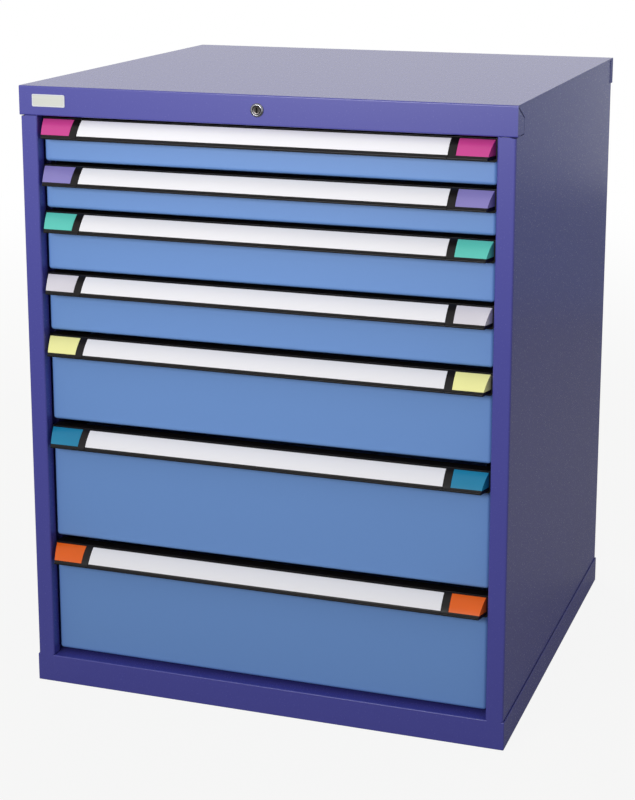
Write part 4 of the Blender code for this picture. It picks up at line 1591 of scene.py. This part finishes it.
@dataclass(frozen=True)
class Lock:
    """The cam lock in the header and the linkage behind it."""

    sizes: CabinetSizes = SIZES
    bezel_radius: float = 0.0106
    bezel_proud: float = 0.003
    body_radius: float = 0.009
    body_length: float = 0.022
    plug_radius: float = 0.006
    plug_proud: float = 0.0032
    plug_tail: Point = (0.004, 0.003)  # radius and length
    keyway: Place = (0.0018, 0.0120, 0.0075)  # width, depth and height
    # Corners as (distance out from the bore or in from the rim, distance behind the front).
    bezel_bore: tuple[Point, ...] = ((0.0, 0.0012), (0.0004, 0.0006), (0.0011, 0.0001), (0.0018, 0.0))
    bezel_rim: tuple[Point, ...] = ((0.0012, 0.0005), (0.0005, 0.0012), (0.0, 0.0022))
    plug_rim: tuple[Point, ...] = ((0.0014, 0.0002), (0.0010, 0.0), (0.0004, 0.0), (0.0, 0.0004))
    play: float = 0.0003
    crease: float = 32.0  # degrees from which an edge stays sharp

    def build(self) -> None:
        """Makes the bezel and the plug, and dresses the linkage."""
        self.barrel()
        self.plug()
        for node in ("lock_cam", "lock_rod", "locking_bar"):
            coated(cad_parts[node], ZINC)

    def barrel(self) -> None:
        """Chromed bezel and threaded body round the plug."""
        bore, proud, outer = self.plug_radius + self.play, -self.bezel_proud, self.bezel_radius
        profile = [
            *((bore + out, proud + behind) for out, behind in self.bezel_bore),
            *((outer - inwards, proud + behind) for inwards, behind in self.bezel_rim),
            (outer, -self.play),
            (self.body_radius, -self.play),
            (self.body_radius, self.body_length),
            (bore, self.body_length),
        ]
        barrel = finished(turned("lock_bezel", profile, self.sizes.lock_height))
        barrel.data.set_sharp_from_angle(angle=math.radians(self.crease))
        dressed(barrel, BEZEL_CHROME, "cabinet", "lock_chrome", ["lock_barrel"])

    def plug(self) -> None:
        """Turning plug with its keyway."""
        sizes = self.sizes
        wide, deep, high = self.keyway
        proud, radius, back = -self.plug_proud, self.plug_radius, self.body_length
        thin, tail = self.plug_tail
        rim = [(radius - inwards, proud + behind) for inwards, behind in self.plug_rim]
        profile = [
            (0.0, rim[0][1]),
            *rim,
            (radius, back),
            (thin, back),
            (thin, back + tail),
            (0.0, back + tail),
        ]
        low = (-wide / 2, sizes.y(proud - REACH), sizes.lock_height - high / 2)
        far = (wide / 2, sizes.y(proud + deep), sizes.lock_height + high / 2)
        slot = new_piece("keyway", box(low, far))
        plug = finished(turned("lock_core", profile, sizes.lock_height), cutters=[slot])
        plug.data.set_sharp_from_angle(angle=math.radians(self.crease))
        dressed(plug, PLUG_STEEL, "lock_plug", "lock_core", ["lock_plug"])


@dataclass(frozen=True)
class NamePlate:
    """Blank silver plate on the header, with a raised border."""

    sizes: CabinetSizes = SIZES
    width: float = 0.0565
    height: float = 0.0195
    left: float = -0.377
    top: float = 0.9873
    corner: float = 0.002
    thickness: float = 0.0008
    border: float = 0.0017
    sunk: float = 0.0002
    cut_reach: float = 0.001  # of the opening's cutter in front of the plate
    edges: Point = (0.00012, 0.00004)  # of the border and of the face

    def build(self) -> None:
        """Makes the plate's raised border and its sunk face."""
        middle = self.thickness / 2
        border = self.slab("plate_border", 0.0, 0.0, self.thickness)
        opening = self.slab("plate_opening", self.border, middle, self.thickness + self.cut_reach)
        made = finished(border, cutters=[opening], edge=self.edges[0])
        dressed(made, PLATE_SILVER, "cabinet", "plate_silver", ["name_plate"])
        face = self.slab("plate_face", self.border, middle, self.thickness - self.sunk)
        dressed(finished(face, edge=self.edges[1]), PLATE_FACE, "cabinet", "plate_silver")
        LOG.info("name plate is left blank, %.1f mm wide", 1000 * self.width)

    def slab(self, name: str, inset: float, near: float, far: float) -> Object:
        """A rounded slab in front of the header.

        Args:
            name: the piece's name.
            inset: how far it lies within the plate's outline.
            near: how far in front of the header's play it starts.
            far: how far in front it ends.

        Returns:
            The unfinished slab.
        """
        left, right = self.left + inset, self.left + self.width - inset
        low, high = self.top - self.height + inset, self.top - inset
        corners = [(left, low), (right, low), (right, high), (left, high)]
        outline = rounded(corners, self.corner - inset * 0.5, 5, closed=True)
        front = self.sizes.y(-self.sizes.gap)
        return new_piece(name, drawn_out(outline, front - far, front - near, Axis.Y))


@dataclass(frozen=True)
class Lamp:
    """A soft rectangular lamp."""

    name: str
    place: Place
    aim: Place
    size: Point
    power: float  # watts
    spread: float  # angle of its beam in degrees
    mirrored: bool = True  # whether a glossy surface shows it

    def hang(self) -> None:
        """Puts the lamp in the scene, where the camera doesn't see it."""
        data = bpy.data.lights.new(self.name, "AREA")
        data.shape, data.energy, data.spread = "RECTANGLE", self.power, math.radians(self.spread)
        data.size, data.size_y = self.size
        lamp = linked(self.name, data)
        lamp.location = self.place
        lamp.visible_camera, lamp.visible_glossy = False, self.mirrored
        beam = Vector(self.aim) - Vector(self.place)
        lamp.rotation_euler = beam.to_track_quat("-Z", "Y").to_euler()


@dataclass(frozen=True)
class Studio:
    """Pale floor, soft lamps and the camera at the photograph's viewing angle."""

    lens: float = 82.94
    camera_place: Place = (0.990, -2.942, 1.322)
    pitch: float = 12.40
    yaw: float = 19.16
    shift: float = -0.15
    sensor: float = 36.0
    clip: Point = (0.05, 60.0)
    floor_radius: float = 5.0
    floor_sides: int = 96
    floor_fade: Point = (0.25, 0.95)  # shares of the radius between which it turns white
    floor_white: float = 0.90  # how white the eye sees it under the cabinet
    floor_shine: float = 0.05  # the same share in reflections
    card_span: Point = (0.75, 4.2)  # of the gauze, along X
    card_depth: Point = (2.6, 2.61)  # along Y
    card_height: float = 2.4
    card_fade: Point = (0.8, 0.38)  # height from which it is thin, and how clear it is there
    matt_roughness: float = 0.9
    level: float = 0.47  # of the light that the world throws on matt surfaces
    key: Lamp = Lamp("key", (-0.6, -3.2, 1.55), (0.0, -0.37, 1.26), (1.3, 0.8), 12.4, 75.0)
    rear: Lamp = Lamp("rear", (-2.2, 3.0, 0.68), (-0.2, 0.2, 0.55), (1.4, 0.6), 13.0, 80.0, False)

    def build(self) -> None:
        """Sets up the camera, the floor, the world and the lamps."""
        bpy.context.scene.view_settings.view_transform = "Standard"
        self.camera()
        self.floor()
        self.grey_card()
        self.world()
        self.key.hang()
        self.rear.hang()

    def camera(self) -> None:
        """Places the camera."""
        data = bpy.data.cameras.new("camera")
        data.lens, data.sensor_width, data.shift_y = self.lens, self.sensor, self.shift
        data.clip_start, data.clip_end = self.clip
        camera = linked("camera", data)
        camera.location = self.camera_place
        camera.rotation_euler = (math.radians(90 - self.pitch), 0.0, math.radians(self.yaw))
        bpy.context.scene.camera = camera

    def seen(self, tree: NodeTree, shine: float = 1.0) -> NodeSocket:
        """How far a ray sees the white background.

        Args:
            tree: the tree that takes the nodes.
            shine: how far rays from reflections and through glass see it.

        Returns:
            An output that is 1 for the eye, that share for reflections, and 0 for other light.
        """
        path = add_node(tree, "ShaderNodeLightPath").outputs
        rays = {0: path["Is Glossy Ray"], 1: path["Is Transmission Ray"]}
        shiny = add_node(tree, "ShaderNodeMath", rays, operation="MAXIMUM").outputs[0]
        share = add_node(tree, "ShaderNodeMath", {0: shiny, 1: shine}, operation="MULTIPLY")
        rays = {0: path["Is Camera Ray"], 1: share.outputs[0]}
        return add_node(tree, "ShaderNodeMath", rays, operation="MAXIMUM").outputs[0]

    def matt(self, piece: Object, name: str, colour: str) -> NodeTree:
        """Gives a piece of the studio a matt material.

        Args:
            piece: the piece.
            name: the material's name.
            colour: its sRGB colour.

        Returns:
            The material's tree.
        """
        material = bpy.data.materials.new(name)
        material.use_nodes = True
        tree = material.node_tree
        look = {"Base Color": linear(colour), "Roughness": self.matt_roughness}
        feed(tree, tree.nodes["Principled BSDF"], look)
        piece.data.materials.append(material)
        return tree

    def mixed(self, tree: NodeTree, share: NodeSocket, other: Node) -> None:
        """Mixes another shader into a matt material.

        Args:
            tree: the material's tree.
            share: how much of the other shows, from 0 to 1.
            other: the other shader.
        """
        shaders = {0: share, 1: tree.nodes["Principled BSDF"].outputs[0], 2: other.outputs[0]}
        mix = add_node(tree, "ShaderNodeMixShader", shaders)
        feed(tree, tree.nodes["Material Output"], {"Surface": mix.outputs[0]})

    def floor(self) -> None:
        """A round pale floor that keeps a soft shadow and fades into the white round it."""
        shape = bmesh.new()
        sides, radius = self.floor_sides, self.floor_radius
        bmesh.ops.create_circle(shape, cap_ends=True, segments=sides, radius=radius)
        floor = new_piece("floor", shape)
        tree = self.matt(floor, "pale_floor", "#a0a093")
        place = add_node(tree, "ShaderNodeTexCoord").outputs["Object"]
        away = add_node(tree, "ShaderNodeVectorMath", {0: place}, operation="LENGTH")
        start, end = (share * radius for share in self.floor_fade)
        ends = {"From Min": start, "From Max": end, "To Min": self.floor_white, "To Max": 1.0}
        values = {"Value": away.outputs["Value"], **ends}
        fade = add_node(tree, "ShaderNodeMapRange", values, interpolation_type="SMOOTHSTEP")
        values = {0: self.seen(tree, self.floor_shine), 1: fade.outputs[0]}
        share = add_node(tree, "ShaderNodeMath", values, operation="MULTIPLY")
        glow = add_node(tree, "ShaderNodeEmission", {"Color": WHITE, "Strength": 1.0})
        self.mixed(tree, share.outputs[0], glow)

    def grey_card(self) -> None:
        """A grey gauze behind the cabinet's right, out of view, for its right side to mirror."""
        (left, right), head = self.card_span, self.card_height
        corners = [(left, 0.0), (right, 0.0), (right, head), (left, head)]
        card = new_piece("grey_card", drawn_out(corners, *self.card_depth, Axis.Y))
        tree = self.matt(card, "grey_studio_gauze", "#c4d0ec")
        place = add_node(tree, "ShaderNodeTexCoord").outputs["Object"]
        parts = add_node(tree, "ShaderNodeSeparateXYZ", {0: place})
        ends = {"From Min": 0.0, "From Max": self.card_fade[0], "To Min": 0.0}
        values = {"Value": parts.outputs["Z"], **ends, "To Max": self.card_fade[1]}
        thin = add_node(tree, "ShaderNodeMapRange", values, interpolation_type="SMOOTHSTEP")
        self.mixed(tree, thin.outputs[0], add_node(tree, "ShaderNodeBsdfTransparent"))
        card.visible_camera = False

    def world(self) -> None:
        """White to the eye and in reflections, and a plain level of light on everything else."""
        world = bpy.data.worlds.new("studio")
        bpy.context.scene.world = world
        world.use_nodes = True
        tree = world.node_tree
        values = {"Value": self.seen(tree), "To Min": self.level, "To Max": 1.0}
        level = add_node(tree, "ShaderNodeMapRange", values).outputs[0]
        feed(tree, tree.nodes["Background"], {"Color": WHITE, "Strength": level})


def note_bounds() -> None:
    """Brings the view layer up to date."""
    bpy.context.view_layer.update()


def main() -> None:
    """Builds and dresses the cabinet, then sets up the studio."""
    logging.basicConfig(level=logging.INFO, format="%(message)s")
    note_bounds()
    Housing().build()
    DrawerStack().build()
    Lock().build()
    NamePlate().build()
    Studio().build()
    note_bounds()


if __name__ == "__main__":
    main()
